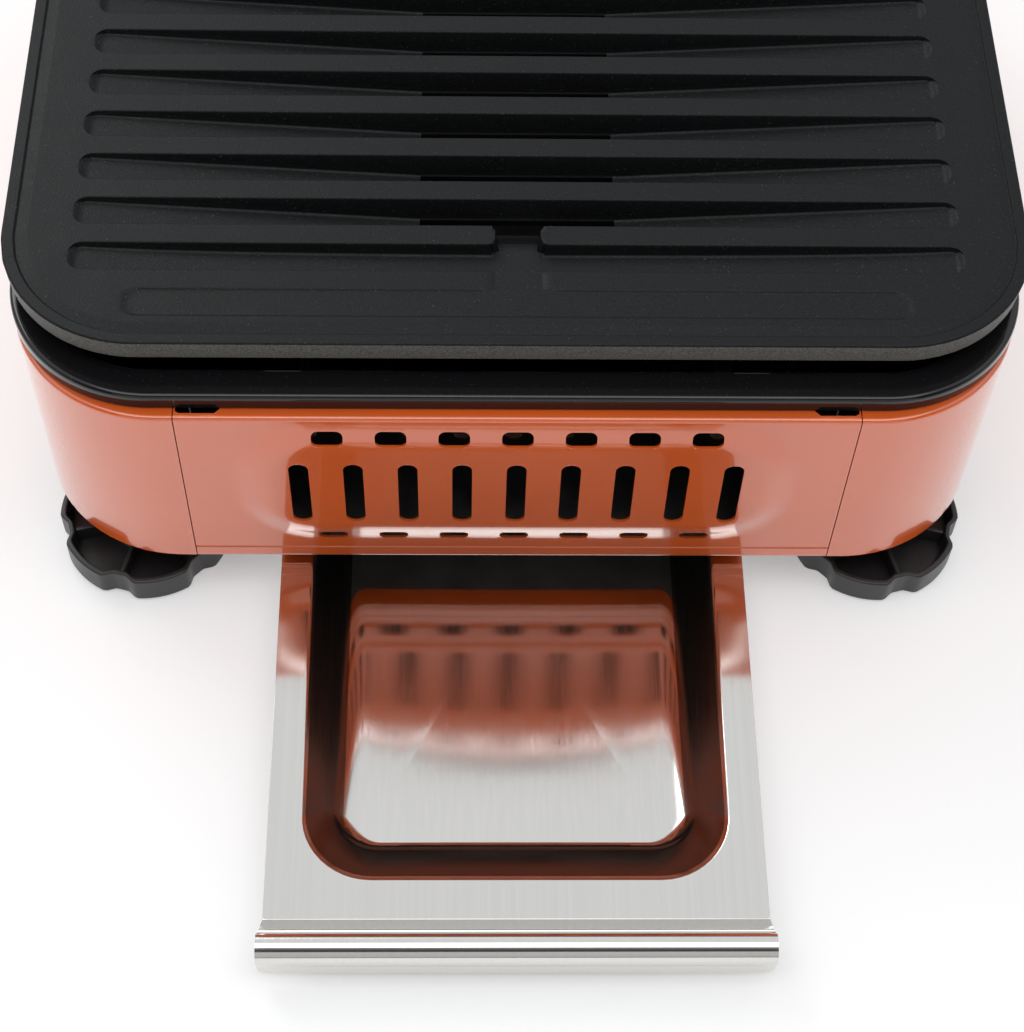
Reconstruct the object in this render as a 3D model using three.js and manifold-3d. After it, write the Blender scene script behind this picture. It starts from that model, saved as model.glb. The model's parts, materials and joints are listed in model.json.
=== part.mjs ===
// Tabletop electric griddle: a ribbed cast plate over a painted steel housing, with a drip tray drawn out
// at the front. Millimetres, +Z up, the tray side towards -Y. The origin is on the surface the feet stand
// on, at the middle of the whole object's footprint with its tray drawn out.
import * as THREE from "three";
import { ConvexGeometry } from "three/addons/geometries/ConvexGeometry.js";
import { mergeVertices } from "three/addons/utils/BufferGeometryUtils.js";
import Module from "manifold-3d";

const wasm = await Module();
wasm.setup();

// ---------- driving dimensions ----------
const GAP = 0.3; // air left between pieces that touch
const SHEET = 1.2; // housing and pan sheet, thickness

const BODY = { width: 395.6, depth: 366.4, radius: 60, bottom: 26, top: 125, lip: 11, flange: 10 };
const FRONT = -BODY.depth / 2; // outer face of the front panel
const REAR = BODY.depth / 2; // outer face on the control side

const PANEL = { halfWidth: 131.6, joint: 132, notchFrom: 114, notchTo: 131, notchDepth: 8 };
const EMBOSS = { width: 226, height: 84, radius: 34, z: 81.7, topWidth: 198, topHeight: 54, topRadius: 20, rise: 3 };
const VENT = {
  upper: { count: 7, pitch: 24.5, width: 12.2, height: 7.6, radius: 2.8, z: 114.6 },
  middle: { count: 9, pitch: 21.4, width: 7.8, height: 41, radius: 3.9, z: 78.4 },
  lower: { count: 7, pitch: 24.7, width: 11.8, height: 6.8, radius: 2.8, z: 44.2 },
};

const RIM = { width: 398, depth: 356.4, radius: 58.5, bottom: BODY.top + GAP, top: 132.3, flange: 13 };
const WELL = { width: RIM.width - 2 * RIM.flange, depth: RIM.depth - 2 * RIM.flange, radius: 45.5, floor: 70 };

const PLATE = { width: 400, depth: 334.4, radius: 55, bottom: 140.8, top: 151.3, draft: 0.8 };
const BOSS = { width: 356, depth: 288, radius: 36, bottom: 138.3 };
const EDGE_CHANNEL = { inset: 4.7, width: 5, depth: 1 };
const GROOVE = {
  count: 12, pitch: 22.7, width: 13.2, floorWidth: 8, reach: 173.3, deepReach: 39,
  endDepth: 1.9, deepDepth: 9.5, outerDepth: 5, endRound: 5,
};
const DRAIN_GAP = { width: 17, depth: 4.2 };
const REST_AREA = { reach: 151, width: 14, depth: 0.5, fromEdge: 19.9 };
const FIRST_GROOVE = -((GROOVE.count - 1) * GROOVE.pitch) / 2;

const CHUTE = { topHalfX: 44, topHalfY: 112, top: 126, lowHalfX: 32, lowHalfY: 88, bottom: 24, wall: 1 };
const TRAY = {
  drawn: 158, halfWidth: 97, flangeTop: 22.2, sheet: 1, length: 312, front: FRONT - 160,
  basinHalfX: 84, basinFront: FRONT - 143.7, basinRear: FRONT + 138, basinRadius: 28,
  slopeX: 22, slopeY: 19.2, floor: 5.2, floorRadius: 8,
};
const HANDLE = { halfWidth: 99.2, valleyDrop: 4, valleyReach: 4.5, radius: 6.6, reach: 16, hem: 5 };
const RAIL = { x: 99.5, top: 28.6, bottom: 19.7, sheet: 1.2, foot: 9, front: FRONT + 12, rear: REAR - 30 };

const BASE = { inset: 2.4, z: 29, thickness: 1.2 };
const FOOT = {
  x: 157.5, y: REAR - 30, radius: 36.2, scallopDepth: 3, lobes: 6, lobePhase: -75,
  height: 14, wall: 2.6, hubRadius: 12, floor: 3,
};
const STUD = { radius: 4, top: 54 };
const WELD_NUT = { size: 26, plate: 2, collarRadius: 8, collarHeight: 9 };

const POST = { x: 91, y: REAR - 30, width: 14, sheet: 2, foot: 12 };
const LOCATOR = { width: 30 };
const ELEMENT = { radius: 3.5, z: 133.4, exitZ: 118, frontY: -152, legs: [-150, -108, -76, -56], exitY: 176 };
const REFLECTOR = { nearX: 50, farX: 168, halfY: 134, z: 99, legDrop: 27, sheet: 1 };
const COMB = { y: 92, sheet: 2, nearX: 50.5, farX: 158, foot: 10 };
const SENSOR = { x: 92, radius: 2.4, lineRadius: 1, underBend: 127, exitX: 102, exitZ: 119 };

const DIAL = { x: 62, z: 52, radius: 21, skirt: 24, height: 15, flare: 4, standOff: 1.2 };
const SHAFT = { radius: 3, length: 21 };
const LAMP = { x: 62, z: 92, radius: 4.4, rim: 6.2 };
const SWITCH = { width: 22, height: 30, z: 54 };
const INLET = { x: 111, z: 55, width: 27, height: 20 };

const REACH_FRONT = TRAY.front - HANDLE.reach;
const REACH_REAR = REAR + DIAL.standOff + DIAL.height;
const CENTRE_SHIFT = -(REACH_FRONT + REACH_REAR) / 2;

// ---------- solids ----------
function toSolid(geometry) {
  const bare = geometry.clone();
  for (const name of ["normal", "uv"]) bare.deleteAttribute(name);
  const merged = mergeVertices(bare, 1e-4);
  return new wasm.Manifold(
    new wasm.Mesh({
      numProp: 3,
      vertProperties: merged.attributes.position.array,
      triVerts: new Uint32Array(merged.index.array),
    }),
  );
}

function toGeometry(solid) {
  const { vertProperties, triVerts } = solid.getMesh();
  const geometry = new THREE.BufferGeometry();
  geometry.setAttribute("position", new THREE.BufferAttribute(vertProperties, 3));
  geometry.setIndex(new THREE.BufferAttribute(triVerts, 1));
  geometry.computeVertexNormals();
  return geometry;
}

const join = (first, ...others) => others.reduce((a, b) => a.add(b), first);
const cut = (first, ...others) => others.reduce((a, b) => a.subtract(b), first);

function box(x0, x1, y0, y1, z0, z1) {
  const geometry = new THREE.BoxGeometry(x1 - x0, y1 - y0, z1 - z0);
  return toSolid(geometry.translate((x0 + x1) / 2, (y0 + y1) / 2, (z0 + z1) / 2));
}

function roundedRect(width, height, radius) {
  const [w, h] = [width / 2 - radius, height / 2 - radius];
  const shape = new THREE.Shape();
  shape.absarc(w, -h, radius, -Math.PI / 2, 0);
  shape.absarc(w, h, radius, 0, Math.PI / 2);
  shape.absarc(-w, h, radius, Math.PI / 2, Math.PI);
  shape.absarc(-w, -h, radius, Math.PI, 1.5 * Math.PI);
  shape.closePath();
  return shape;
}

function extrudeUp(shape, z0, z1, segments = 7) {
  const geometry = new THREE.ExtrudeGeometry(shape, { depth: z1 - z0, bevelEnabled: false, curveSegments: segments });
  return toSolid(geometry.translate(0, 0, z0));
}

// A shape drawn in X and Z, given thickness from y0 to y1.
function extrudeAlongY(shape, y0, y1, segments = 4) {
  const geometry = new THREE.ExtrudeGeometry(shape, { depth: y1 - y0, bevelEnabled: false, curveSegments: segments });
  return toSolid(geometry.rotateX(Math.PI / 2).translate(0, y1, 0));
}

// A shape drawn in Y and Z, given thickness from x0 to x1.
function extrudeAlongX(shape, x0, x1, segments = 6) {
  const geometry = new THREE.ExtrudeGeometry(shape, { depth: x1 - x0, bevelEnabled: false, curveSegments: segments });
  return toSolid(geometry.rotateY(Math.PI / 2).rotateX(Math.PI / 2).translate(x0, 0, 0));
}

const slab = (width, depth, radius, z0, z1, segments) =>
  extrudeUp(roundedRect(width, depth, radius), z0, z1, segments);

const ring = (shape, height, segments, place = (x, y, z) => [x, y, z]) =>
  shape.getPoints(segments).map((p) => new THREE.Vector3(...place(p.x, p.y, height)));

const hull = (...rings) => toSolid(new ConvexGeometry(rings.flat()));

function cylinder(radius, z0, z1, segments = 16, topRadius = radius) {
  const geometry = new THREE.CylinderGeometry(topRadius, radius, z1 - z0, segments);
  return toSolid(geometry.rotateX(Math.PI / 2).translate(0, 0, (z0 + z1) / 2));
}

// A cylinder along Y, from y0 to y1, centred on (x, z).
function pinY(radius, x, z, y0, y1, segments = 16, farRadius = radius) {
  return cylinder(radius, y0, y1, segments, farRadius).rotate([-90, 0, 0]).translate([x, 0, z]);
}

function tube(points, radius, steps, sides = 8) {
  const circle = new THREE.Shape().absarc(0, 0, radius, 0, 2 * Math.PI);
  const path = new THREE.CatmullRomCurve3(points.map((p) => new THREE.Vector3(...p)), false, "centripetal");
  return toSolid(
    new THREE.ExtrudeGeometry(circle, { steps, extrudePath: path, curveSegments: sides / 2, bevelEnabled: false }),
  );
}

// ---------- materials ----------
const finish = (color, roughness, metalness) => new THREE.MeshStandardMaterial({ color, roughness, metalness });
const MATERIAL = {
  coating: finish(0x2b2e31, 0.55, 0.2),
  orange: finish(0xe0602c, 0.25, 0.1),
  enamel: finish(0x0d0c0c, 0.15, 0.0),
  stainless: finish(0xc2c3c0, 0.28, 1.0),
  zinc: finish(0xb9c0c6, 0.35, 1.0),
  galvanised: finish(0x9a9c9b, 0.5, 0.9),
  plastic: finish(0x1b1c1d, 0.5, 0.0),
  sheath: finish(0x4a4743, 0.45, 0.8),
  porcelain: finish(0xe6e2d8, 0.35, 0.0),
  lens: finish(0xd8401c, 0.15, 0.0),
  copper: finish(0xb87842, 0.35, 1.0),
  insulation: finish(0xd9d3c4, 0.6, 0.0),
};

const griddle = new THREE.Group();
const parts = new THREE.Group(); // in housing coordinates: Y = 0 midway between its front and rear faces
parts.position.y = CENTRE_SHIFT;
griddle.add(parts);

function addPart(name, solid, material) {
  const mesh = new THREE.Mesh(toGeometry(solid), material);
  mesh.name = name;
  parts.add(mesh);
}

const SIDES = [["left", -1], ["right", 1]];
const CORNERS = SIDES.flatMap(([side, sx]) => [[`front_${side}`, sx, -1], [`rear_${side}`, sx, 1]]);

// ---------- griddle plate ----------
// Half of one groove: its floor falls from a shallow round end to full depth at the edge of the drain slot.
function grooveHalf(side, y, deepDepth) {
  const top = PLATE.top + 1;
  const end = (height, halfWidth, reach) =>
    [-90, -45, 0, 45, 90].map((angle) => {
      const a = THREE.MathUtils.degToRad(angle);
      const x = reach - GROOVE.endRound + GROOVE.endRound * Math.cos(a);
      return new THREE.Vector3(side * x, y + halfWidth * Math.sin(a), height);
    });
  const inner = (height, halfWidth) =>
    [-1, 1].map((s) => new THREE.Vector3(0, y + s * halfWidth, height));
  const [wide, narrow] = [GROOVE.width / 2, GROOVE.floorWidth / 2];
  const deepFloor = PLATE.top - deepDepth;
  const deep = [-1, 1].map((s) => new THREE.Vector3(side * GROOVE.deepReach, y + s * narrow, deepFloor));
  return hull(
    end(top, wide, GROOVE.reach), end(PLATE.top, wide, GROOVE.reach), inner(top, wide), inner(PLATE.top, wide),
    end(PLATE.top - GROOVE.endDepth, narrow + 1, GROOVE.reach - 1), deep, inner(deepFloor, narrow),
  );
}

function griddlePlate() {
  const outline = roundedRect(PLATE.width, PLATE.depth, PLATE.radius);
  const underside = roundedRect(
    PLATE.width - 2 * PLATE.draft, PLATE.depth - 2 * PLATE.draft, PLATE.radius - PLATE.draft,
  );
  const plate = join(
    hull(ring(underside, PLATE.bottom, 8), ring(outline, PLATE.top, 8)),
    slab(BOSS.width, BOSS.depth, BOSS.radius, BOSS.bottom, PLATE.bottom + 1, 4),
  );
  const channel = (inset) => roundedRect(
    PLATE.width - 2 * inset, PLATE.depth - 2 * inset, PLATE.radius - inset,
  );
  const edgeChannel = cut(
    extrudeUp(channel(EDGE_CHANNEL.inset), PLATE.top - EDGE_CHANNEL.depth, PLATE.top + 1),
    extrudeUp(channel(EDGE_CHANNEL.inset + EDGE_CHANNEL.width), PLATE.top - 5, PLATE.top + 2),
  );
  const cuts = [edgeChannel];
  for (let i = 0; i < GROOVE.count; i++) {
    const y = FIRST_GROOVE + i * GROOVE.pitch;
    const outermost = i === 0 || i === GROOVE.count - 1;
    for (const side of [-1, 1]) cuts.push(grooveHalf(side, y, outermost ? GROOVE.outerDepth : GROOVE.deepDepth));
    if (!outermost) {
      const half = GROOVE.floorWidth / 2 + 0.4;
      cuts.push(box(-GROOVE.deepReach, GROOVE.deepReach, y - half, y + half, BOSS.bottom - 1, PLATE.top + 1));
    }
  }
  for (const end of [-1, 1]) {
    const land = end * -(FIRST_GROOVE + GROOVE.pitch / 2);
    const rest = roundedRect(2 * REST_AREA.reach, REST_AREA.width, REST_AREA.width / 2 - 0.5);
    const restY = end * (PLATE.depth / 2 - REST_AREA.fromEdge);
    const half = DRAIN_GAP.width / 2;
    cuts.push(
      box(-half, half, land - 6, land + 6, PLATE.top - DRAIN_GAP.depth, PLATE.top + 1),
      extrudeUp(rest, PLATE.top - REST_AREA.depth, PLATE.top + 1, 3).translate([0, restY, 0]),
    );
  }
  return cut(plate, ...cuts);
}

// ---------- housing ----------
// The grease chute's outer half width and half depth at a height.
function chuteSize(z) {
  const share = (z - CHUTE.bottom) / (CHUTE.top - CHUTE.bottom);
  return {
    halfX: THREE.MathUtils.lerp(CHUTE.lowHalfX, CHUTE.topHalfX, share),
    halfY: THREE.MathUtils.lerp(CHUTE.lowHalfY, CHUTE.topHalfY, share),
  };
}

function roundedRing(width, depth, radius, wall, z0, z1) {
  return cut(
    slab(width, depth, radius, z0, z1),
    slab(width - 2 * wall, depth - 2 * wall, radius - wall, z0 - 1, z1 + 1),
  );
}

function bodyShell() {
  const { width, depth, radius, bottom, top } = BODY;
  const shell = join(
    roundedRing(width, depth, radius, SHEET, bottom, top),
    roundedRing(width, depth, radius, BODY.lip, top - SHEET, top),
    roundedRing(width, depth, radius, BODY.flange, bottom, bottom + SHEET),
  );
  const rearHole = (shape, x, z) => extrudeAlongY(shape, REAR - 2, REAR + 1).translate([x, 0, z]);
  const cuts = [box(-PANEL.joint, PANEL.joint, FRONT - 1, FRONT + 16, bottom - 1, top + 1)];
  for (const [, sx] of SIDES) {
    cuts.push(pinY(5, sx * DIAL.x, DIAL.z, REAR - 3, REAR + 1, 12), pinY(LAMP.radius + 0.4, sx * LAMP.x, LAMP.z, REAR - 3, REAR + 1, 12));
  }
  cuts.push(
    rearHole(roundedRect(SWITCH.width, SWITCH.height, 0.6), 0, SWITCH.z),
    rearHole(roundedRect(INLET.width, INLET.height, 2.5), INLET.x, INLET.z),
  );
  return cut(shell, ...cuts);
}

function ventRow({ count, pitch, width, height, radius, z }) {
  return Array.from({ length: count }, (_, i) =>
    extrudeAlongY(roundedRect(width, height, radius), FRONT - 6, FRONT + 4, 2)
      .translate([(i - (count - 1) / 2) * pitch, 0, z]));
}

function frontPanel() {
  const { halfWidth } = PANEL;
  const { bottom, top } = BODY;
  const facing = (shape, y) => ring(shape, y, 5, (x, up, depth) => [x, depth, up + EMBOSS.z]);
  const low = roundedRect(EMBOSS.width, EMBOSS.height, EMBOSS.radius);
  const high = roundedRect(EMBOSS.topWidth, EMBOSS.topHeight, EMBOSS.topRadius);
  const raised = hull(facing(low, FRONT + 0.5), facing(low, FRONT), facing(high, FRONT - EMBOSS.rise));
  const hollow = hull(
    facing(low, FRONT + SHEET + 1), facing(low, FRONT + SHEET), facing(high, FRONT + SHEET - EMBOSS.rise),
  );
  const sheet = join(
    box(-halfWidth, halfWidth, FRONT, FRONT + SHEET, bottom, top),
    box(-halfWidth, halfWidth, FRONT, FRONT + BODY.lip, top - SHEET, top),
    box(-halfWidth, halfWidth, FRONT, FRONT + BODY.flange - 1, bottom, bottom + SHEET),
    raised,
  );
  const notches = SIDES.map(([, sx]) => {
    const [x0, x1] = [sx * PANEL.notchFrom, sx * PANEL.notchTo].sort((a, b) => a - b);
    return box(x0, x1, FRONT + 1, FRONT + PANEL.notchDepth, top - 3, top + 1);
  });
  const vents = Object.values(VENT).flatMap(ventRow);
  return cut(sheet, hollow, ...notches, ...vents);
}

function innerPan() {
  const wellOuter = slab(WELL.width, WELL.depth, WELL.radius, WELL.floor, RIM.top);
  const inner = 2 * SHEET;
  const body = join(slab(RIM.width, RIM.depth, RIM.radius, RIM.bottom, RIM.top), wellOuter);
  const underRim = cut(
    slab(RIM.width - inner, RIM.depth - inner, RIM.radius - SHEET, RIM.bottom - 1, RIM.top - SHEET),
    wellOuter,
  );
  const well = slab(WELL.width - inner, WELL.depth - inner, WELL.radius - SHEET, WELL.floor + SHEET, RIM.top + 1);
  const chute = chuteSize(WELL.floor + SHEET); // the tapered chute drops in from above and wedges in this hole
  const chuteHole = box(
    -chute.halfX - GAP, chute.halfX + GAP, -chute.halfY - GAP, chute.halfY + GAP, WELL.floor - 1, WELL.floor + 3,
  );
  const leadHoles = SIDES.flatMap(([, sx]) =>
    [ELEMENT.legs[0], ELEMENT.legs[3]].map((x) =>
      pinY(ELEMENT.radius + 0.8, -sx * x, ELEMENT.exitZ, WELL.depth / 2 - 6, WELL.depth / 2 + 1, 12)));
  const sensorHoles = SIDES.map(([, sx]) =>
    pinY(SENSOR.lineRadius + 1, sx * SENSOR.exitX, SENSOR.exitZ, WELL.depth / 2 - 3, WELL.depth / 2 + 1, 8));
  return cut(body, underRim, well, chuteHole, ...leadHoles, ...sensorHoles);
}

function basePan() {
  const { inset, z, thickness } = BASE;
  const sheet = slab(
    BODY.width - 2 * inset, BODY.depth - 2 * inset, BODY.radius - inset, z, z + thickness,
  );
  const clear = 2;
  const { halfX, halfY } = chuteSize(z + thickness);
  const studHoles = CORNERS.map(([, sx, sy]) =>
    cylinder(STUD.radius + 1, z - 1, z + 3, 12).translate([sx * FOOT.x, sy * FOOT.y, 0]));
  const chuteHole = box(-halfX - clear, halfX + clear, -halfY - clear, halfY + clear, z - 1, z + 3);
  return cut(sheet, chuteHole, ...studHoles);
}

// ---------- grease path ----------
function rectangle(halfX, halfY, z) {
  return [[-1, -1], [1, -1], [1, 1], [-1, 1]].map(([sx, sy]) => new THREE.Vector3(sx * halfX, sy * halfY, z));
}

function greaseChute() {
  const { topHalfX, topHalfY, top, lowHalfX, lowHalfY, bottom, wall } = CHUTE;
  const outer = hull(rectangle(topHalfX, topHalfY, top), rectangle(lowHalfX, lowHalfY, bottom));
  const flare = { x: (topHalfX - lowHalfX) / (top - bottom), y: (topHalfY - lowHalfY) / (top - bottom) };
  const inner = hull(
    rectangle(topHalfX - wall + flare.x, topHalfY - wall + flare.y, top + 1),
    rectangle(lowHalfX - wall - flare.x, lowHalfY - wall - flare.y, bottom - 1),
  );
  return cut(outer, inner);
}

function basin(drop) {
  const width = 2 * TRAY.basinHalfX;
  const length = TRAY.basinRear - TRAY.basinFront;
  const centre = (TRAY.basinRear + TRAY.basinFront) / 2;
  const mouth = roundedRect(width, length, TRAY.basinRadius);
  const floor = roundedRect(width - 2 * TRAY.slopeX, length - 2 * TRAY.slopeY, TRAY.floorRadius);
  const rings = [ring(mouth, TRAY.flangeTop - drop, 5), ring(floor, TRAY.floor - drop, 5)];
  if (drop === 0) rings.push(ring(mouth, TRAY.flangeTop + 1, 5));
  return hull(...rings).translate([0, centre, 0]);
}

// The bent front edge in section: a shallow valley, then a rolled grip with its hem turned under.
function handleSection() {
  const { front, flangeTop, sheet } = TRAY;
  const { valleyDrop, valleyReach, radius, reach, hem } = HANDLE;
  const valley = [front - valleyReach, flangeTop - valleyDrop];
  const centre = [front - reach + radius, flangeTop - radius + 1.4];
  const arc = (r, from, to, clockwise) =>
    new THREE.Path().absarc(...centre, r, from, to, clockwise).getPoints(7);
  const [start, end] = [Math.PI * 0.32, Math.PI * 1.12];
  const outer = arc(radius, start, end, false);
  const inner = arc(radius - sheet, end, start, true);
  const toe = centre[1] - radius - hem;
  return new THREE.Shape([
    new THREE.Vector2(front + 1, flangeTop),
    new THREE.Vector2(front, flangeTop),
    new THREE.Vector2(...valley),
    ...outer,
    new THREE.Vector2(outer.at(-1).x + 0.6, toe),
    new THREE.Vector2(inner[0].x + 0.6, toe),
    ...inner,
    new THREE.Vector2(valley[0] + 0.2, valley[1] - sheet - 0.5),
    new THREE.Vector2(front + 0.4, flangeTop - sheet),
    new THREE.Vector2(front + 1, flangeTop - sheet),
  ]);
}

function dripTray() {
  const { front, halfWidth, flangeTop, sheet, length } = TRAY;
  const flange = box(-halfWidth, halfWidth, front + 0.5, front + length, flangeTop - sheet, flangeTop);
  const handle = extrudeAlongX(handleSection(), -HANDLE.halfWidth, HANDLE.halfWidth);
  return cut(join(flange, basin(sheet), handle), basin(0));
}

function trayRail(sx) {
  const { x, top, bottom, sheet, foot, front, rear } = RAIL;
  const section = [[x - foot, x + sheet, top - sheet, top], [x, x + sheet, bottom, top], [x - foot, x + sheet, bottom, bottom + sheet]];
  return join(...section.map(([x0, x1, z0, z1]) =>
    box(Math.min(sx * x0, sx * x1), Math.max(sx * x0, sx * x1), front, rear, z0, z1)));
}

// ---------- levelling feet ----------
// The knob's outline: round lobes with a shallow scallop for a finger between them.
function lobedOutline(radius, scallopDepth, phase) {
  const step = (2 * Math.PI) / FOOT.lobes;
  const lobeShare = 0.62;
  const points = [];
  for (let i = 0; i < FOOT.lobes; i++) {
    const middle = THREE.MathUtils.degToRad(phase) + i * step;
    for (const t of [-0.5, 0, 0.5]) {
      const a = middle + t * step * lobeShare;
      points.push(new THREE.Vector2(radius * Math.cos(a), radius * Math.sin(a)));
    }
    for (const t of [0.3, 0.7]) {
      const a = middle + step * (lobeShare / 2 + t * (1 - lobeShare));
      const r = radius - scallopDepth * Math.sin(Math.PI * t);
      points.push(new THREE.Vector2(r * Math.cos(a), r * Math.sin(a)));
    }
  }
  return new THREE.Shape(points);
}

function footKnob(phase) {
  const { radius, scallopDepth, height, wall, hubRadius, floor } = FOOT;
  const cup = cut(
    extrudeUp(lobedOutline(radius, scallopDepth, phase), 0, height),
    extrudeUp(lobedOutline(radius - wall, scallopDepth, phase), floor, height + 1),
  );
  const ribs = Array.from({ length: 3 }, (_, i) =>
    box(-radius + wall + 4, radius - wall - 4, -0.9, 0.9, floor - 1, height - 2).rotate([0, 0, phase + 30 + i * 60]));
  const bore = cylinder(STUD.radius + GAP, floor, height + 2, 12);
  return cut(join(cup, cylinder(hubRadius, floor - 1, height, 16), ...ribs), bore);
}

const footStud = () => cylinder(STUD.radius, FOOT.floor + GAP, STUD.top, 12);

function weldNut() {
  const { size, plate, collarRadius, collarHeight } = WELD_NUT;
  const z = BASE.z + BASE.thickness + GAP;
  const body = join(slab(size, size, 4, z, z + plate, 2), cylinder(collarRadius, z + plate - 0.5, z + plate + collarHeight, 6));
  return cut(body, cylinder(STUD.radius + GAP, z - 1, z + 20, 12));
}

// ---------- heating ----------
function heatingElement(sx) {
  const { radius, z, exitZ, frontY, legs, exitY } = ELEMENT;
  const [outer, second, third, inner] = legs;
  const rearBend = 96;
  const bend = (xa, xb, y, way) => {
    const [middle, r] = [(xa + xb) / 2, (xb - xa) / 2];
    return [30, 60, 90, 120, 150].map((angle) => {
      const a = THREE.MathUtils.degToRad(180 - angle);
      return [middle + r * Math.cos(a), y + way * r * Math.sin(a), z];
    });
  };
  const riser = (x) => [[x, exitY, exitZ], [x, exitY - 28, exitZ], [x, exitY - 36, exitZ + 2], [x, exitY - 48, z - 1.5]];
  // Points close together at both ends of a straight run keep it straight between the bends.
  const run = (x, from, to) => [0, 0.06, 0.5, 0.94, 1].map((t) => [x, THREE.MathUtils.lerp(from, to, t), z]);
  const [frontBend, rise] = [frontY + 21, exitY - 60];
  const route = [
    ...riser(outer), ...run(outer, rise, frontBend), ...bend(outer, second, frontBend, -1),
    ...run(second, frontBend, rearBend), ...bend(second, third, rearBend, 1),
    ...run(third, rearBend, frontBend), ...bend(third, inner, frontBend, -1),
    ...run(inner, frontBend, rise), ...riser(inner).reverse(),
  ];
  return tube(route.map(([x, y, height]) => [-sx * x, y, height]), radius, 70, 8);
}

function reflector(sx) {
  const { nearX, farX, halfY, z, legDrop, sheet } = REFLECTOR;
  const [x0, x1] = [sx * nearX, sx * farX].sort((a, b) => a - b);
  const plate = box(x0, x1, -halfY, halfY, z, z + sheet);
  const legs = [-1, 1].map((sy) => {
    const [y0, y1] = [sy * halfY, sy * (halfY - sheet)].sort((a, b) => a - b);
    return box(x0, x1, y0, y1, z - legDrop, z + sheet);
  });
  return join(plate, ...legs);
}

// A comb that stands on the reflector and holds the element's legs in open notches.
function elementBracket(sx, sy) {
  const { y, sheet, nearX, farX, foot } = COMB;
  const stand = REFLECTOR.z + REFLECTOR.sheet + GAP;
  const [x0, x1] = [sx * nearX, sx * farX].sort((a, b) => a - b);
  const [y0, y1] = [sy * y, sy * y + sheet];
  const comb = join(box(x0, x1, y0, y1, stand, ELEMENT.z + 2), box(x0, x1, y0, y0 + foot, stand, stand + sheet));
  const notch = (x, half, z) => box(x - half, x + half, y0 - 1, y1 + 1, z - half, ELEMENT.z + 5);
  const held = ELEMENT.radius + 0.9;
  const notches = ELEMENT.legs.map((x) => notch(-sx * x, held, ELEMENT.z));
  return cut(comb, ...notches, notch(sx * SENSOR.x, SENSOR.lineRadius + 1, SENSOR.underBend));
}

// A bent strap on the pan's floor whose top tab lies under the plate's boss.
function plateStrap(x, sy, width) {
  const { y, sheet, foot } = POST;
  const [low, high] = [WELL.floor + SHEET + GAP, BOSS.bottom - GAP];
  const [x0, x1] = [x - width / 2, x + width / 2];
  const post = (near, far, z0, z1) => {
    const [y0, y1] = [sy * near, sy * far].sort((a, b) => a - b);
    return box(x0, x1, y0, y1, z0, z1);
  };
  return join(
    post(y, y + sheet, low, high), post(y, y - foot, low, low + sheet), post(y, y - foot - 6, high - sheet, high),
  );
}

// ---------- controls ----------
function thermostat(sx) {
  const x = sx * DIAL.x;
  const face = REAR - SHEET - GAP;
  return cut(
    join(box(x - 15, x + 15, face - 26, face, DIAL.z - 15, DIAL.z + 15), box(x - 9, x + 9, face - 34, face - 25, DIAL.z - 6, DIAL.z + 6)),
    pinY(SHAFT.radius + GAP, x, DIAL.z, face - 12, face + 1, 12),
  );
}

function controlDial(sx) {
  const near = REAR + DIAL.standOff;
  const x = sx * DIAL.x;
  const dial = join(
    pinY(DIAL.skirt, x, DIAL.z, near, near + DIAL.flare, 32, DIAL.skirt - 1),
    pinY(DIAL.radius, x, DIAL.z, near + 1, near + DIAL.height, 32, DIAL.radius - 2),
  );
  const socket = pinY(SHAFT.radius + GAP, x, DIAL.z, near - 1, near + SHAFT.length - 11, 12);
  const pointer = box(x - 1, x + 1, near + DIAL.height - 1, near + DIAL.height + 1, DIAL.z + 6, DIAL.z + DIAL.radius);
  return cut(dial, socket, pointer);
}

const thermostatShaft = (sx) => {
  const start = REAR - SHEET - GAP - 11;
  return pinY(SHAFT.radius, sx * DIAL.x, DIAL.z, start, start + SHAFT.length, 12);
};

function pilotLens(sx) {
  const [x, face] = [sx * LAMP.x, REAR + GAP];
  return join(
    pinY(LAMP.rim, x, LAMP.z, face, face + 1.2, 16), pinY(LAMP.radius, x, LAMP.z, REAR - 4, face + 1, 16),
    pinY(LAMP.radius - 0.2, x, LAMP.z, face + 1, face + 3, 16, LAMP.radius - 1.6),
  );
}

const pilotLamp = (sx) => pinY(LAMP.radius - 0.6, sx * LAMP.x, LAMP.z, REAR - 15, REAR - 4 - GAP, 10);

function switchHousing() {
  const [halfX, halfZ] = [SWITCH.width / 2 - 0.4, SWITCH.height / 2 - 0.4];
  const frame = extrudeAlongY(roundedRect(SWITCH.width + 4, SWITCH.height + 4, 2), REAR + GAP, REAR + 2, 2).translate([0, 0, SWITCH.z]);
  const can = box(-halfX, halfX, REAR - 20, REAR + 1, SWITCH.z - halfZ, SWITCH.z + halfZ);
  const mouth = box(-halfX + 1.4, halfX - 1.4, REAR - 9, REAR + 5, SWITCH.z - halfZ + 1.4, SWITCH.z + halfZ - 1.4);
  return cut(join(frame, can), mouth);
}

// The rocker is a shallow V, so that either half can lie proud; it turns about X through its pivot.
function switchRocker() {
  const [halfX, halfZ] = [SWITCH.width / 2 - 2.6, SWITCH.height / 2 - 3];
  const profile = new THREE.Shape([[0, -halfZ], [3.6, -halfZ], [1.6, 0], [3.6, halfZ], [0, halfZ], [-3, 2], [-3, -2]].map((p) => new THREE.Vector2(...p)));
  return extrudeAlongX(profile, -halfX, halfX).translate([0, REAR, SWITCH.z]);
}

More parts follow.
